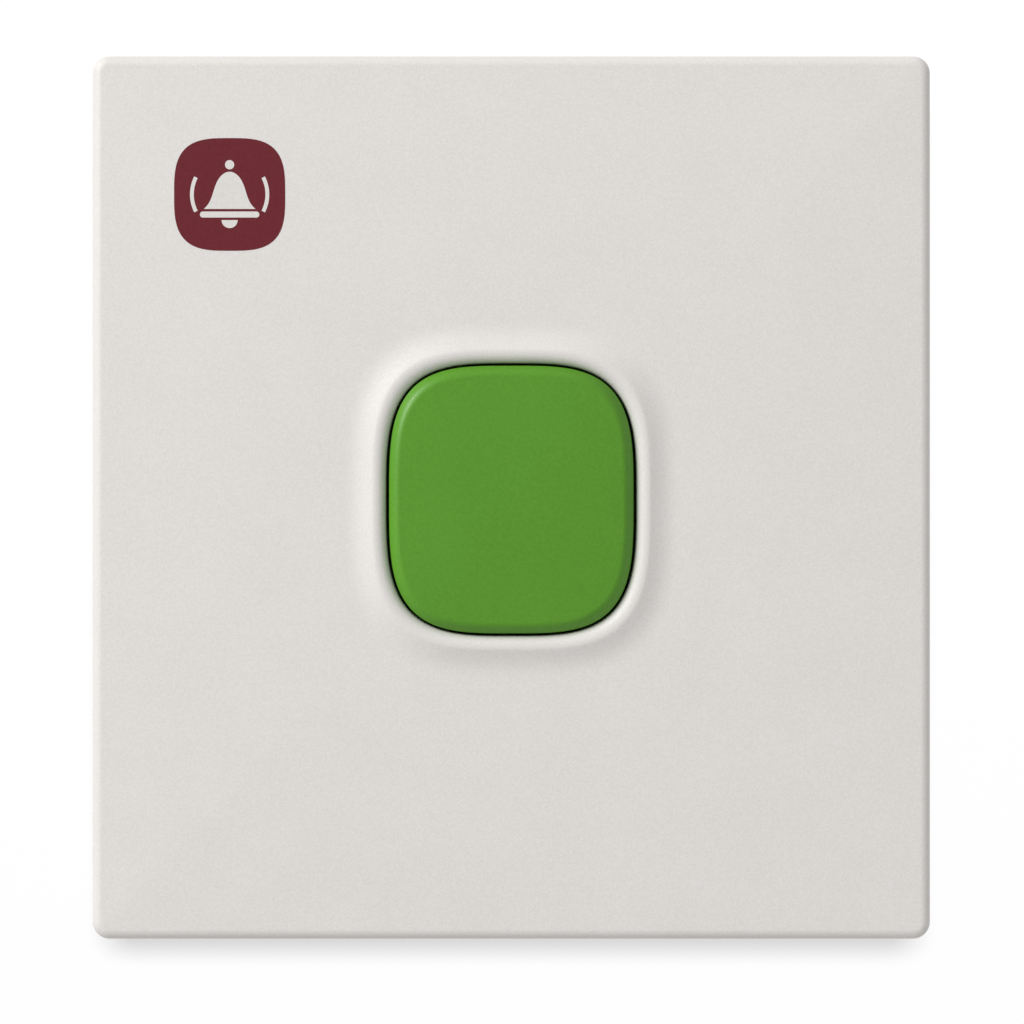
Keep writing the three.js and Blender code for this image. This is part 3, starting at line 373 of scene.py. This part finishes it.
# Zinc on steel: bluish, slightly clouded.
screw_steel = worked_metal("zinc_plated_steel", "#BCC1C6", "#989DA4", 0.32, (0.5, 0.5, 0.5))
# Drawn aluminium can: pale and soft.
can_aluminium = worked_metal("drawn_aluminium", "#D2D4D7", "#B6B9BD", 0.34, (1.0, 0.1, 1.0))
# Tin over brass: warm white.
tinned_brass = worked_metal("tinned_brass", "#D8D5CC", "#BBB7AA", 0.26, (1.0, 0.2, 1.0))

# %% Lacquered circuit board
TRACK_PITCH_MM, TRACK_HEIGHT_MM = 2.4, 0.03
TRACK_EDGE, TRACK_FADE = 0.07, 1.4


def lacquered_board(name, lacquer, track):
    """Board: a track lies where the second nearest cell is hardly further than the nearest."""
    material, tree, place = empty_material(name)
    cells = {"Vector": place, "Scale": METRE / TRACK_PITCH_MM, "Randomness": 0.6}
    square = {"distance": "CHEBYCHEV"}
    near = add(tree, "ShaderNodeTexVoronoi", cells, feature="F1", **square)["Distance"]
    next_near = add(tree, "ShaderNodeTexVoronoi", cells, feature="F2", **square)["Distance"]
    apart = {0: next_near, 1: near}
    border = add(tree, "ShaderNodeMath", apart, operation="SUBTRACT")["Value"]
    edge = {"Value": border, "From Min": TRACK_EDGE, "From Max": TRACK_FADE * TRACK_EDGE}
    edge |= {"To Min": 1.0, "To Max": 0.0}
    raised = add(tree, "ShaderNodeMapRange", edge)["Result"]
    ends = {0: raised, MIX_FIRST: linear(lacquer), MIX_SECOND: linear(track)}
    colour = add(tree, "ShaderNodeMix", ends, data_type="RGBA")[MIX_RESULT]
    relief = {"Height": raised, "Distance": TRACK_HEIGHT_MM / METRE}
    normal = add(tree, "ShaderNodeBump", relief)["Normal"]
    skin = {"Base Color": colour, "Roughness": 0.28, "Normal": normal, "IOR": 1.55}
    surface = add(tree, "ShaderNodeBsdfPrincipled", skin)["BSDF"]
    add(tree, "ShaderNodeOutputMaterial", {"Surface": surface})
    return material


# Green solder lacquer: glossy, with paler raised lines over the copper.
board_laminate = lacquered_board("green_solder_lacquer", "#1F5C3A", "#2F7A4C")
print("materials:", len(bpy.data.materials))

# %% [markdown]
# ## Outlines
#
# Two families of outline meet in the cover. Its edge is a rectangle with small round corners.
# The button, its opening and the lip are superellipses: |x/a|^n + |y/b|^n = 1 with n near 3.4,
# rounder than a rectangle and squarer than an ellipse. The front face has to run from one to the
# other, so both take their points in the same directions from the middle.

# %% The rectangle with round corners
SIDE_STEPS, CORNER_STEPS = 56, 14


def all_quarters(quarter):
    """A quarter outline, from the right-hand side to the top, mirrored into all four corners."""
    back = quarter[::-1]
    turned = [quarter, back * [-1, 1], -quarter, back * [1, -1]]
    return np.vstack([part[:-1] for part in turned])


def rounded_rectangle(half, radius, side_steps=SIDE_STEPS, corner_steps=CORNER_STEPS):
    """Straight, quarter circle, straight. A straight's points are half the side times the tangent
    of even angles from 0 to 45 degrees."""
    half = np.asarray(half, dtype=float)
    straight = half - radius
    rise = np.tan(np.linspace(0, math.pi / 4, side_steps + 1))
    turn = np.linspace(0, math.pi / 2, corner_steps + 1)
    side = np.column_stack([np.full(side_steps + 1, half[0]), straight[1] * rise])
    corner = straight + radius * np.column_stack([np.cos(turn), np.sin(turn)])
    top = np.column_stack([straight[0] * rise[::-1], np.full(side_steps + 1, half[1])])
    return all_quarters(np.vstack([side[:-1], corner, top[1:]]))


def cover_outline(inset, level):
    """Cover at a level: its sides lean in by the draft, in step with the height."""
    lean = COVER_DRAFT * (level - COVER_REAR) / (FACE - COVER_REAR)
    return rounded_rectangle(COVER_HALF - inset - lean, max(CORNER_RADIUS - inset, LEAST_RADIUS))


# %% The superellipse
rear_outline = cover_outline(0, COVER_REAR)
DIRECTIONS = np.arctan2(rear_outline[:, 1], rear_outline[:, 0])


def superellipse(half, exponent, angles=DIRECTIONS):
    """Point in direction d: d times (|d.x/a|^n + |d.y/b|^n)^(-1/n)."""
    direction = np.column_stack([np.cos(angles), np.sin(angles)])
    reach = (np.abs(direction / half) ** exponent).sum(axis=1) ** (-1 / exponent)
    return direction * reach[:, None]


def opening_outline(grown):
    """The opening, with both half sizes grown by the same amount."""
    return superellipse(OPENING_HALF + grown, OPENING_EXPONENT) + BUTTON_CENTRE


def cap_outline(grown):
    """The button cap, with both half sizes grown by the same amount."""
    return superellipse(CAP_HALF + grown, CAP_EXPONENT) + BUTTON_CENTRE


print("points in an outline:", len(DIRECTIONS))

# %% [markdown]
# ## The cover
#
# The cover is one moulding with a hole in it, so its skin is a closed loop of sections: from the
# flat face up the slope of the lip, over its crest, down into the opening, round the collar,
# along the inner skin, down the side wall, round the rear edge, up the leaning outside and over
# the rounded front edge. Each stop gives a ring, and the rings close on themselves like a tyre.
# The lip leaves the face with no crease: its steepness grows as a squared sine up to a place near
# the top, and from there falls as a squared cosine to the level crest.

# %% Lip, bore and collar
LIP_STEPS, ROUND_STEPS, EDGE_STEPS, FINE_STEPS = 44, 18, 16, 4
SKIN = FACE - COVER_WALL
COLLAR_END = SKIN - COLLAR_REACH


def quarter_turn(steps):
    """Sine and one minus cosine of even angles from 0 to 90 degrees, in pairs."""
    turn = np.linspace(0, math.pi / 2, steps + 1)
    return list(zip(np.sin(turn), 1 - np.cos(turn)))


def lip_rise(share):
    """Height at a share s of the way up: s - p sin(pi s / p) / pi below the steepest place p, and
    s + q sin(pi (s - p) / q) / pi above it, where q = 1 - p."""
    if share < LIP_STEEPEST:
        return share - LIP_STEEPEST * math.sin(math.pi * share / LIP_STEEPEST) / math.pi
    rest = 1 - LIP_STEEPEST
    return share + rest * math.sin(math.pi * (share - LIP_STEEPEST) / rest) / math.pi


def lip_sections():
    """Growth and level of each ring: slope, inner rounding (a quarter circle), bore, collar."""
    sections = []
    for share in np.linspace(0, 1, LIP_STEPS + 1):
        grown = LIP_ROUND + LIP_RUN * (1 - share)
        sections.append((grown, FACE + LIP_HEIGHT * lip_rise(share)))
    for sine, fall in quarter_turn(ROUND_STEPS):
        sections.append((LIP_ROUND * (1 - sine), LIP_TOP - LIP_ROUND * fall))
    for sine, fall in quarter_turn(FINE_STEPS):
        sections.append((REAR_RADIUS * fall, COLLAR_END + REAR_RADIUS * (1 - sine)))
    return sections + [(COLLAR_WALL, COLLAR_END), (COLLAR_WALL, SKIN)]


# %% Side wall, rear edge and front edge


def side_sections():
    """Inset and level of each ring: inner wall, two small roundings at the rear, front edge."""
    sections = [(COVER_WALL, SKIN)]
    for sine, fall in quarter_turn(FINE_STEPS):
        sections.append((COVER_WALL - REAR_RADIUS * fall, COVER_REAR + REAR_RADIUS * (1 - sine)))
    for sine, fall in quarter_turn(FINE_STEPS):
        sections.append((REAR_RADIUS * (1 - sine), COVER_REAR + REAR_RADIUS * fall))
    for sine, fall in quarter_turn(EDGE_STEPS):
        sections.append((EDGE_RADIUS * fall, FACE - EDGE_RADIUS * (1 - sine)))
    return sections


def with_notch(rings):
    """Lifts the rear edge by the notch where it passes under the middle of the lower side."""
    inside = (np.abs(rings[..., 0]) < NOTCH_HALF) & (rings[..., 1] < 0)
    at_rear = rings[..., 2] < COVER_REAR + NOTCH_RISE
    rings[..., 2] += np.where(inside & at_rear, NOTCH_RISE, 0.0)
    return rings


lip_rings = [lifted(opening_outline(grown), level) for grown, level in lip_sections()]
side_rings = [lifted(cover_outline(inset, level), level) for inset, level in side_sections()]
cover_skin = swept(with_notch(np.array(lip_rings + side_rings)), closed=True)
print("sections of the cover:", len(lip_rings) + len(side_rings))

# %% [markdown]
# Inside, the cover has what every such moulding has: ribs that keep the face flat, four hollow
# bosses for the board's screws, each with a web to the side wall, and hooks that hold on to the
# plate. They are small straight bodies that reach half a millimetre into the skin.

# %% Ribs and bosses
screw_low, screw_high = box_of("board_screw_upper_right")
BOSS_X, BOSS_Y = (screw_low + screw_high)[:2] / 2
BOSS_RADIUS, BOSS_BORE = 3.2, 1.55
BOSS_END = 7.9
RIB_X, RIB_Y = 18.5, 20.5
RIB_HALF, RIB_DEPTH = 0.5, 1.2
SMALL_ROUND, BAR_STEPS = 0.15, (2, 4)
CIRCLE_STEPS = 48
# A web starts inside the wall of its boss, this far from the middle.
WEB_START = 2.48
INNER_HALF = COVER_HALF - COVER_WALL


def bar(x_range, y_range, low, high):
    """Rib over a rectangle with slightly rounded corners."""
    ends = np.array([x_range, y_range])
    outline = rounded_rectangle((ends[:, 1] - ends[:, 0]) / 2, SMALL_ROUND, *BAR_STEPS)
    return prism(outline + ends.mean(axis=1), low, high)


def circle(radius, centre):
    """Round outline: radius times cosine and sine."""
    turn = np.linspace(0, 2 * math.pi, CIRCLE_STEPS, endpoint=False)
    return np.array(centre) + radius * np.column_stack([np.cos(turn), np.sin(turn)])


def sleeve(outer, inner, low, high, centre):
    """Tube: the four corners of its wall, each carried round a circle."""
    section = [(inner, low), (outer, low), (outer, high), (inner, high)]
    return swept([lifted(circle(radius, centre), level) for radius, level in section], True)


cover_bodies = [cover_skin]
for side in (-1, 1):
    rib_x = (side * RIB_X - RIB_HALF, side * RIB_X + RIB_HALF)
    rib_y = (side * RIB_Y - RIB_HALF, side * RIB_Y + RIB_HALF)
    span_x, span_y = ((-reach - EMBED, reach + EMBED) for reach in INNER_HALF)
    cover_bodies.append(bar(rib_x, span_y, SKIN - RIB_DEPTH, SKIN + EMBED))
    cover_bodies.append(bar(span_x, rib_y, SKIN - RIB_DEPTH, SKIN + EMBED))
    for up in (-1, 1):
        x, y = side * BOSS_X, up * BOSS_Y
        web_x = sorted((x + side * WEB_START, side * (INNER_HALF[0] + EMBED)))
        web_y = (y - RIB_HALF, y + RIB_HALF)
        cover_bodies.append(sleeve(BOSS_RADIUS, BOSS_BORE, BOSS_END, SKIN + EMBED, (x, y)))
        cover_bodies.append(bar(web_x, web_y, SKIN - 2 * RIB_DEPTH, SKIN + EMBED))

# %% Hooks, and the finished cover
HOOK_X, HOOK_HALF = 23.0, 4.0
HOOK_LOW, HOOK_HIGH, HOOK_TIP, HOOK_REACH = 3.2, 4.9, 0.4, 1.3


def hook(x, up):
    """Wedge on the upper (1) or lower (-1) wall: a five-sided section carried along x."""
    wall = INNER_HALF[1]
    y = up * np.array([wall + EMBED, wall + EMBED, wall - HOOK_REACH, wall - HOOK_REACH, wall])
    z = np.array([HOOK_LOW, HOOK_HIGH, HOOK_HIGH, HOOK_HIGH - HOOK_TIP, HOOK_LOW])
    ends = (x - HOOK_HALF, x + HOOK_HALF)
    return swept([np.column_stack([np.full(len(y), end), y, z]) for end in ends])


cover_bodies += [hook(side * HOOK_X, up) for side in (-1, 1) for up in (-1, 1)]
piece("cover_moulding", cover_bodies, cover_plastic, "unit", ["front_cover"])

# %% [markdown]
# ## The button
#
# The button is a hollow cap: a slightly crowned top, a bevelled rim, a straight skirt, and a
# flange at the bottom that stops it behind the cover. Its sections start under the middle of the
# top, run down inside the skirt, round the flange, up the outside and in over the bevel to the
# crown. The bevel starts with an even tilt, which then fades evenly to nothing, and that soft end
# is what catches the light. The crown rises as one minus the square of the way out from the middle.

# %% Sections of the cap
BEVEL_TILT, BEVEL_FLAT, BEVEL_FADE = math.radians(50), 0.4, 0.75
BEVEL_STEPS = 24
CROWN, CROWN_STEPS, CROWN_END = 0.38, 26, 0.02
CAP_SKIN, CAP_SKIRT = 1.95, 1.4
FLANGE_THICKNESS, FLANGE_ROUND = 1.0, 0.12
POCKET_ROUND = 0.5
FLANGE_LOW = cap_low[2]
FLANGE_HIGH = FLANGE_LOW + FLANGE_THICKNESS
CAP_RIM = cap_high[2] - CROWN
CAP_POCKET = cap_high[2] - CAP_SKIN


def shrunk_rings(half, shares, levels):
    """Outlines that shrink towards the middle: each share of the half sizes, at its level."""
    rings = [superellipse(half * share, CAP_EXPONENT) + BUTTON_CENTRE for share in shares]
    return [lifted(ring, level) for ring, level in zip(rings, levels)]


def bevel_sections():
    """Growth and level of each ring: the level is the sum of the tangents of the tilt, times the
    step, counted back from the rim."""
    inset = np.linspace(0, BEVEL_FLAT + BEVEL_FADE, BEVEL_STEPS + 1)
    slope = np.tan(BEVEL_TILT * np.clip((inset[-1] - inset) / BEVEL_FADE, 0, 1))
    rise = np.append(0, np.cumsum((slope[1:] + slope[:-1]) / 2 * inset[1]))
    return list(zip(-inset, CAP_RIM - rise[-1] + rise))


def cap_sections():
    """Growth and level of each ring from the pocket's rounded edge to the end of the bevel."""
    sections = []
    for sine, fall in quarter_turn(FINE_STEPS):
        sections.append((-CAP_SKIRT - POCKET_ROUND * (1 - sine), CAP_POCKET - POCKET_ROUND * fall))
    sections.append((-CAP_SKIRT, FLANGE_LOW))
    edge = FLANGE_REACH - FLANGE_ROUND
    for sine, fall in quarter_turn(FINE_STEPS):
        sections.append((edge + FLANGE_ROUND * sine, FLANGE_LOW + FLANGE_ROUND * fall))
    for sine, fall in quarter_turn(FINE_STEPS):
        height = FLANGE_HIGH - FLANGE_ROUND * (1 - sine)
        sections.append((edge + FLANGE_ROUND * (1 - fall), height))
    return sections + [(0, FLANGE_HIGH)] + bevel_sections()


# %% Pocket, crown and the finished button
PIN_RADIUS, PIN_LENGTH, SPRING_X = 1.3, 1.6, 7.4
PAD_RADIUS, PAD_HEIGHT = 2.4, 0.3
CAP_RIB_DEPTH, CAP_RIB_REACH = 0.5, 0.8
POCKET_SHARES = np.array([0.04, 0.35, 0.7])

pocket_half = CAP_HALF - CAP_SKIRT - POCKET_ROUND
pocket_rings = shrunk_rings(pocket_half, POCKET_SHARES, np.full(len(POCKET_SHARES), CAP_POCKET))
crown_shares = np.linspace(1, CROWN_END, CROWN_STEPS)[1:]
crown_half = CAP_HALF - BEVEL_FLAT - BEVEL_FADE
crown_rings = shrunk_rings(crown_half, crown_shares, CAP_RIM + CROWN * (1 - crown_shares**2))
wall_rings = [lifted(cap_outline(grown), level) for grown, level in cap_sections()]
cap_skin = swept(pocket_rings + wall_rings + crown_rings)


def cap_rib(slope):
    """Rib from corner to corner under the top: a long bar, turned by the slope."""
    reach = CAP_RIB_REACH * np.hypot(*(CAP_HALF - CAP_SKIRT))
    flat = rounded_rectangle((reach, RIB_HALF), SMALL_ROUND, *BAR_STEPS)
    turn = np.array([[math.cos(slope), math.sin(slope)], [-math.sin(slope), math.cos(slope)]])
    return prism(flat @ turn + BUTTON_CENTRE, CAP_POCKET - CAP_RIB_DEPTH, CAP_POCKET + EMBED)


diagonal = math.atan2(CAP_HALF[1], CAP_HALF[0])
pad = prism(circle(PAD_RADIUS, BUTTON_CENTRE), CAP_POCKET - PAD_HEIGHT, CAP_POCKET + EMBED)
cap_bodies = [cap_skin, pad, cap_rib(diagonal), cap_rib(-diagonal)]
for side in (-1, 1):
    pin = circle(PIN_RADIUS, BUTTON_CENTRE + [side * SPRING_X, 0])
    cap_bodies.append(prism(pin, CAP_POCKET - PIN_LENGTH, CAP_POCKET + EMBED))
button = piece(
    "button_moulding", cap_bodies, button_plastic, "button", ["button_cap"]
)

# %% [markdown]
# ## The return springs
#
# Each spring is a wire carried along a helix. At every step the section is a small circle that
# stands across the wire: one axis points away from the middle of the coil, the other is at right
# angles to that and to the wire. The end turns climb slowly, so they lie flat.
#
# In the real unit a spring gets shorter as the button goes in. Here each spring gets a mesh of its
# own and stays as it is.

# %% Springs
WIRE_RADIUS, COIL_RADIUS, COIL_TURNS = 0.25, 1.9, 4.5
CLOSING = 0.1
TURN_STEPS, WIRE_STEPS = 36, 14


def coil(x, low, high):
    """Wire along a helix: the angle grows evenly, the height by a smooth step 3s^2 - 2s^3."""
    along = np.linspace(0, 1, int(COIL_TURNS * TURN_STEPS) + 1)
    angle = 2 * math.pi * COIL_TURNS * along
    share = (along + CLOSING) / (1 + 2 * CLOSING)
    climb = share**2 * (3 - 2 * share)
    height = low + (high - low) * (climb - climb[0]) / (climb[-1] - climb[0])
    outward = np.column_stack([np.cos(angle), np.sin(angle), 0 * angle])
    middle = COIL_RADIUS * outward + np.column_stack([x + 0 * angle, 0 * angle, height])
    middle[:, :2] += BUTTON_CENTRE
    forward = np.gradient(middle, axis=0)
    forward /= np.linalg.norm(forward, axis=1)[:, None]
    across = np.cross(forward, outward)
    turn = np.linspace(0, 2 * math.pi, WIRE_STEPS, endpoint=False)[None, :, None]
    section = np.cos(turn) * outward[:, None] + np.sin(turn) * across[:, None]
    return swept(middle[:, None] + WIRE_RADIUS * section)


for side, sign in (("left", -1), ("right", 1)):
    node = f"return_spring_{side}"
    low, high = (corner[2] for corner in box_of(node))
    wire = coil(sign * SPRING_X, low + WIRE_RADIUS, high - WIRE_RADIUS)
    spring = piece(f"spring_wire_{side}", [wire], spring_steel, "unit", [node])
    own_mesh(spring)

# %% [markdown]
# ## The printed sign
#
# At the upper left a small sign is printed: a maroon field with a pale symbol. The symbol here is
# a bell, the common sign for a call. Both are thin films of ink, a few hundredths of a millimetre
# thick. The bell is a dome that flares at its mouth: its half width is a root of one minus a
# power of the height, plus a flare that dies away quickly. Its parts stand a little apart, as in a
# stencil, because films that overlap at one level would fight for the same place.

# %% The maroon field
SIGN_CENTRE = np.array([-28.0, 30.13])
SIGN_HALF, SIGN_EXPONENT = np.array([5.52, 5.6]), 3.23
FIELD_FILM, SYMBOL_FILM = 0.02, 0.035
FIELD_STEPS = 180

sign_angles = np.linspace(0, 2 * math.pi, FIELD_STEPS, endpoint=False)
field = superellipse(SIGN_HALF, SIGN_EXPONENT, sign_angles) + SIGN_CENTRE
field_film = prism(field, FACE - EMBED, FACE + FIELD_FILM)
piece("sign_field", [field_film], maroon_ink, "unit")

# %% The bell
BELL_LOW, BELL_HIGH, BELL_HALF, BELL_FLARE = -1.45, 2.25, 1.72, 0.85
DOME_POWER, FLARE_POWER = 2.4, 5
MOUTH_HALF, MOUTH_ROUND, MOUTH_Y = (2.95, 0.3), 0.29, -2.0
CLAPPER_RADIUS, CLAPPER_Y = 0.8, -2.55
KNOB_RADIUS, KNOB_Y = 0.46, 2.95
ARC_RADIUS, ARC_HALF, ARC_SPREAD = 3.75, 0.19, math.radians(27)
BELL_STEPS, DISC_STEPS, ARC_STEPS, MOUTH_STEPS = 40, 32, 24, (3, 8)


def bell_outline():
    """Half width at height h from 0 to 1: half * (1 - h^d)^0.5 + flare * (1 - h)^f, with one power
    for the dome and one for the flare."""
    height = np.sin(np.linspace(0, math.pi / 2, BELL_STEPS))
    half = BELL_HALF * np.sqrt(1 - height**DOME_POWER) + BELL_FLARE * (1 - height) ** FLARE_POWER
    y = BELL_LOW + (BELL_HIGH - BELL_LOW) * height
    return np.vstack([np.column_stack([half, y]), np.column_stack([-half, y])[-2::-1]])


def half_disc(radius, top):
    """Lower half of a circle that hangs from a level."""
    turn = np.linspace(math.pi, 2 * math.pi, DISC_STEPS)
    return np.column_stack([radius * np.cos(turn), top + radius * np.sin(turn)])


def sound_arc(side):
    """Stroke beside the bell: a small rectangle carried along an arc round the sign's middle."""
    turn = np.linspace(-ARC_SPREAD, ARC_SPREAD, ARC_STEPS)[:, None]
    radius = ARC_RADIUS + ARC_HALF * np.array([[-1, 1, 1, -1]])
    level = np.array([FACE - EMBED, FACE - EMBED, FACE + SYMBOL_FILM, FACE + SYMBOL_FILM])
    x = SIGN_CENTRE[0] + side * radius * np.cos(turn)
    y = SIGN_CENTRE[1] + radius * np.sin(turn)
    return swept(np.stack([x, y, np.broadcast_to(level, x.shape)], axis=-1))


symbol_outlines = [
    bell_outline(),
    rounded_rectangle(MOUTH_HALF, MOUTH_ROUND, *MOUTH_STEPS) + [0, MOUTH_Y],
    half_disc(CLAPPER_RADIUS, CLAPPER_Y),
    circle(KNOB_RADIUS, (0, KNOB_Y)),
]
symbol = [prism(flat + SIGN_CENTRE, FACE - EMBED, FACE + SYMBOL_FILM) for flat in symbol_outlines]
symbol += [sound_arc(-1), sound_arc(1)]
piece("sign_bell", symbol, pale_ink, "unit")

# %% [markdown]
# ## Materials for the pieces that stay
#
# The remaining nodes have the right shape already. Each takes the material of what it is made of,
# found by the start of its name.

# %% Dress the remaining nodes
finishes = {
    "mounting_plate": plate_plastic,
    "wall_seal": foam_rubber,
    "button_seal": seal_rubber,
    "spring_carrier": carrier_plastic,
    "switch_body": switch_plastic,
    "switch_plunger": plunger_plastic,
    "status_led": lamp_resin,
    "circuit_board": board_laminate,
    "controller_chip": chip_epoxy,
    "bus_chip": chip_epoxy,
    "smoothing_capacitor": can_aluminium,
    "header_shroud": header_plastic,
    "header_pin": tinned_brass,
    "board_screw": screw_steel,
}
dressed = 0
for name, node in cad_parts.items():
    for start, finish in finishes.items():
        if name.startswith(start):
            for slot in node.material_slots:
                slot.material = finish
            dressed += 1
print("dressed nodes:", dressed)

# %% [markdown]
# ## The wall
#
# The unit hangs on a white wall, and its shadow is a short soft band below it. The wall is a
# plane that only the camera's rays see, so it throws no light back on the unit. Most of its white
# is its own, as of a wall that is lit from everywhere, and the rest comes from one lamp, so only
# that part darkens in the shadow. From behind it is clear, so that the back can be looked at.

# %% The wall
WALL_HALF, WALL_BEHIND = 3.0, 0.0002
OWN_LIGHT = 0.66
WALL_ALBEDO = "#404040"
WHITE = (1.0, 1.0, 1.0, 1.0)

wall_mesh = bpy.data.meshes.new("wall")
signs = ((-1, -1), (1, -1), (1, 1), (-1, 1))
wall_corners = [(x * WALL_HALF, WALL_BEHIND, z * WALL_HALF) for x, z in signs]
wall_mesh.from_pydata(wall_corners, [], [(0, 1, 2, 3)])
wall = bpy.data.objects.new("wall", wall_mesh)
bpy.context.scene.collection.objects.link(wall)
wall.visible_diffuse = wall.visible_glossy = wall.visible_transmission = wall.visible_shadow = False

wall_paint, tree, _ = empty_material("white_wall_paint")
lit = add(tree, "ShaderNodeBsdfDiffuse", {"Color": linear(WALL_ALBEDO)})["BSDF"]
own = add(tree, "ShaderNodeEmission", {"Color": WHITE, "Strength": OWN_LIGHT})["Emission"]
front = add(tree, "ShaderNodeAddShader", {0: lit, 1: own})["Shader"]
clear = add(tree, "ShaderNodeBsdfTransparent", {})["BSDF"]
behind = add(tree, "ShaderNodeNewGeometry", {})["Backfacing"]
shown = add(tree, "ShaderNodeMixShader", {0: behind, 1: front, 2: clear})["Shader"]
add(tree, "ShaderNodeOutputMaterial", {"Surface": shown})
wall_mesh.materials.append(wall_paint)

# %% [markdown]
# ## Light
#
# A broad lamp at the upper left models the edges and the lip, and an even pale surrounding fills
# the rest. Together they light a surface that faces the camera by a factor of one, so that a
# colour renders as it is written. The button has a lamp of its own that stands a little lower, so
# that its bevel is drawn with more contrast, and so has the wall, nearly in front and a little
# above, for the shadow. Light linking keeps each lamp to what it is for.

# %% Lamps
KEY_PLACE, KEY_SIZE, KEY_POWER = (-1.25, -1.06, 0.95), (1.07, 1.07), 28.6
BUTTON_LAMP_PLACE, BUTTON_LAMP_SIZE, BUTTON_LAMP_POWER = (-1.42, -0.83, 0.92), (1.0, 1.0), 36.2
WALL_LAMP_PLACE, WALL_LAMP_SIZE, WALL_LAMP_POWER = (0.0, -0.9, 0.2), (0.3, 0.19), 54.0


def aimed(thing, place, at=(0.0, 0.0, 0.0)):
    """Puts a lamp or camera at a place, turned so that its own -Z looks at a point."""
    x, y, z = np.array(at) - np.array(place)
    thing.location = place
    thing.rotation_euler = (math.atan2(math.hypot(x, y), -z), 0.0, math.atan2(-x, y))


def oval_lamp(name, place, size, power, receivers):
    """Oval lamp, given by width and height, that lights what its receiver collection allows."""
    data = bpy.data.lights.new(name, "AREA")
    data.shape = "ELLIPSE"
    data.size, data.size_y = size
    data.energy = power
    lamp = bpy.data.objects.new(name, data)
    bpy.context.scene.collection.objects.link(lamp)
    aimed(lamp, place)
    lamp.light_linking.receiver_collection = receivers
    print(f"{name}: {power} W at {place}")


def collected(name, *things):
    """Collection of things, for a lamp that lights only these or all but these."""
    made = bpy.data.collections.new(name)
    for thing in things:
        made.objects.link(thing)
    return made


all_others = collected("all_but_wall_and_button", wall, button)
for member in all_others.collection_objects:
    member.light_linking.link_state = "EXCLUDE"
only_wall = collected("only_wall", wall)
only_button = collected("only_button", button)
oval_lamp("key_lamp", KEY_PLACE, KEY_SIZE, KEY_POWER, all_others)
oval_lamp("button_lamp", BUTTON_LAMP_PLACE, BUTTON_LAMP_SIZE, BUTTON_LAMP_POWER, only_button)
oval_lamp("wall_lamp", WALL_LAMP_PLACE, WALL_LAMP_SIZE, WALL_LAMP_POWER, only_wall)

# %% Surrounding light
AMBIENT = 0.545

world = bpy.data.worlds.new("pale_studio")
bpy.context.scene.world = world
world.use_nodes = True
sky = world.node_tree
sky.nodes.clear()
rays = add(sky, "ShaderNodeLightPath", {})
either = {0: rays["Is Camera Ray"], 1: rays["Is Glossy Ray"]}
seen = add(sky, "ShaderNodeMath", either, operation="MAXIMUM")["Value"]
either = {0: seen, 1: rays["Is Transmission Ray"]}
seen = add(sky, "ShaderNodeMath", either, operation="MAXIMUM")["Value"]
strength = {"Value": seen, "To Min": AMBIENT, "To Max": 1.0}
level = add(sky, "ShaderNodeMapRange", strength)["Result"]
glow = add(sky, "ShaderNodeBackground", {"Color": WHITE, "Strength": level})["Background"]
add(sky, "ShaderNodeOutputWorld", {"Surface": glow})
print("surrounding light on the unit:", AMBIENT)

# %% [markdown]
# ## Camera
#
# The photograph is taken straight from the front through a long lens. The picture spans a little
# over 100 mm at the front face, and its middle lies just below the middle of the unit.

# %% Camera
PICTURE_WIDTH_MM = 101.8
LENS, SENSOR, CLIP_START = 90.0, 36.0, 0.01
AIM_X, AIM_Z = 0.00007, -0.00144

camera_data = bpy.data.cameras.new("camera")
camera_data.lens = LENS
camera_data.sensor_width = SENSOR
camera_data.clip_start = CLIP_START
camera = bpy.data.objects.new("camera", camera_data)
bpy.context.scene.collection.objects.link(camera)
away = PICTURE_WIDTH_MM * LENS / SENSOR
aimed(camera, (AIM_X, -(FACE + away) / METRE, AIM_Z), (AIM_X, 0.0, AIM_Z))
bpy.context.scene.camera = camera
bpy.context.scene.view_settings.view_transform = "Standard"
print("camera", away, "mm in front of the face")
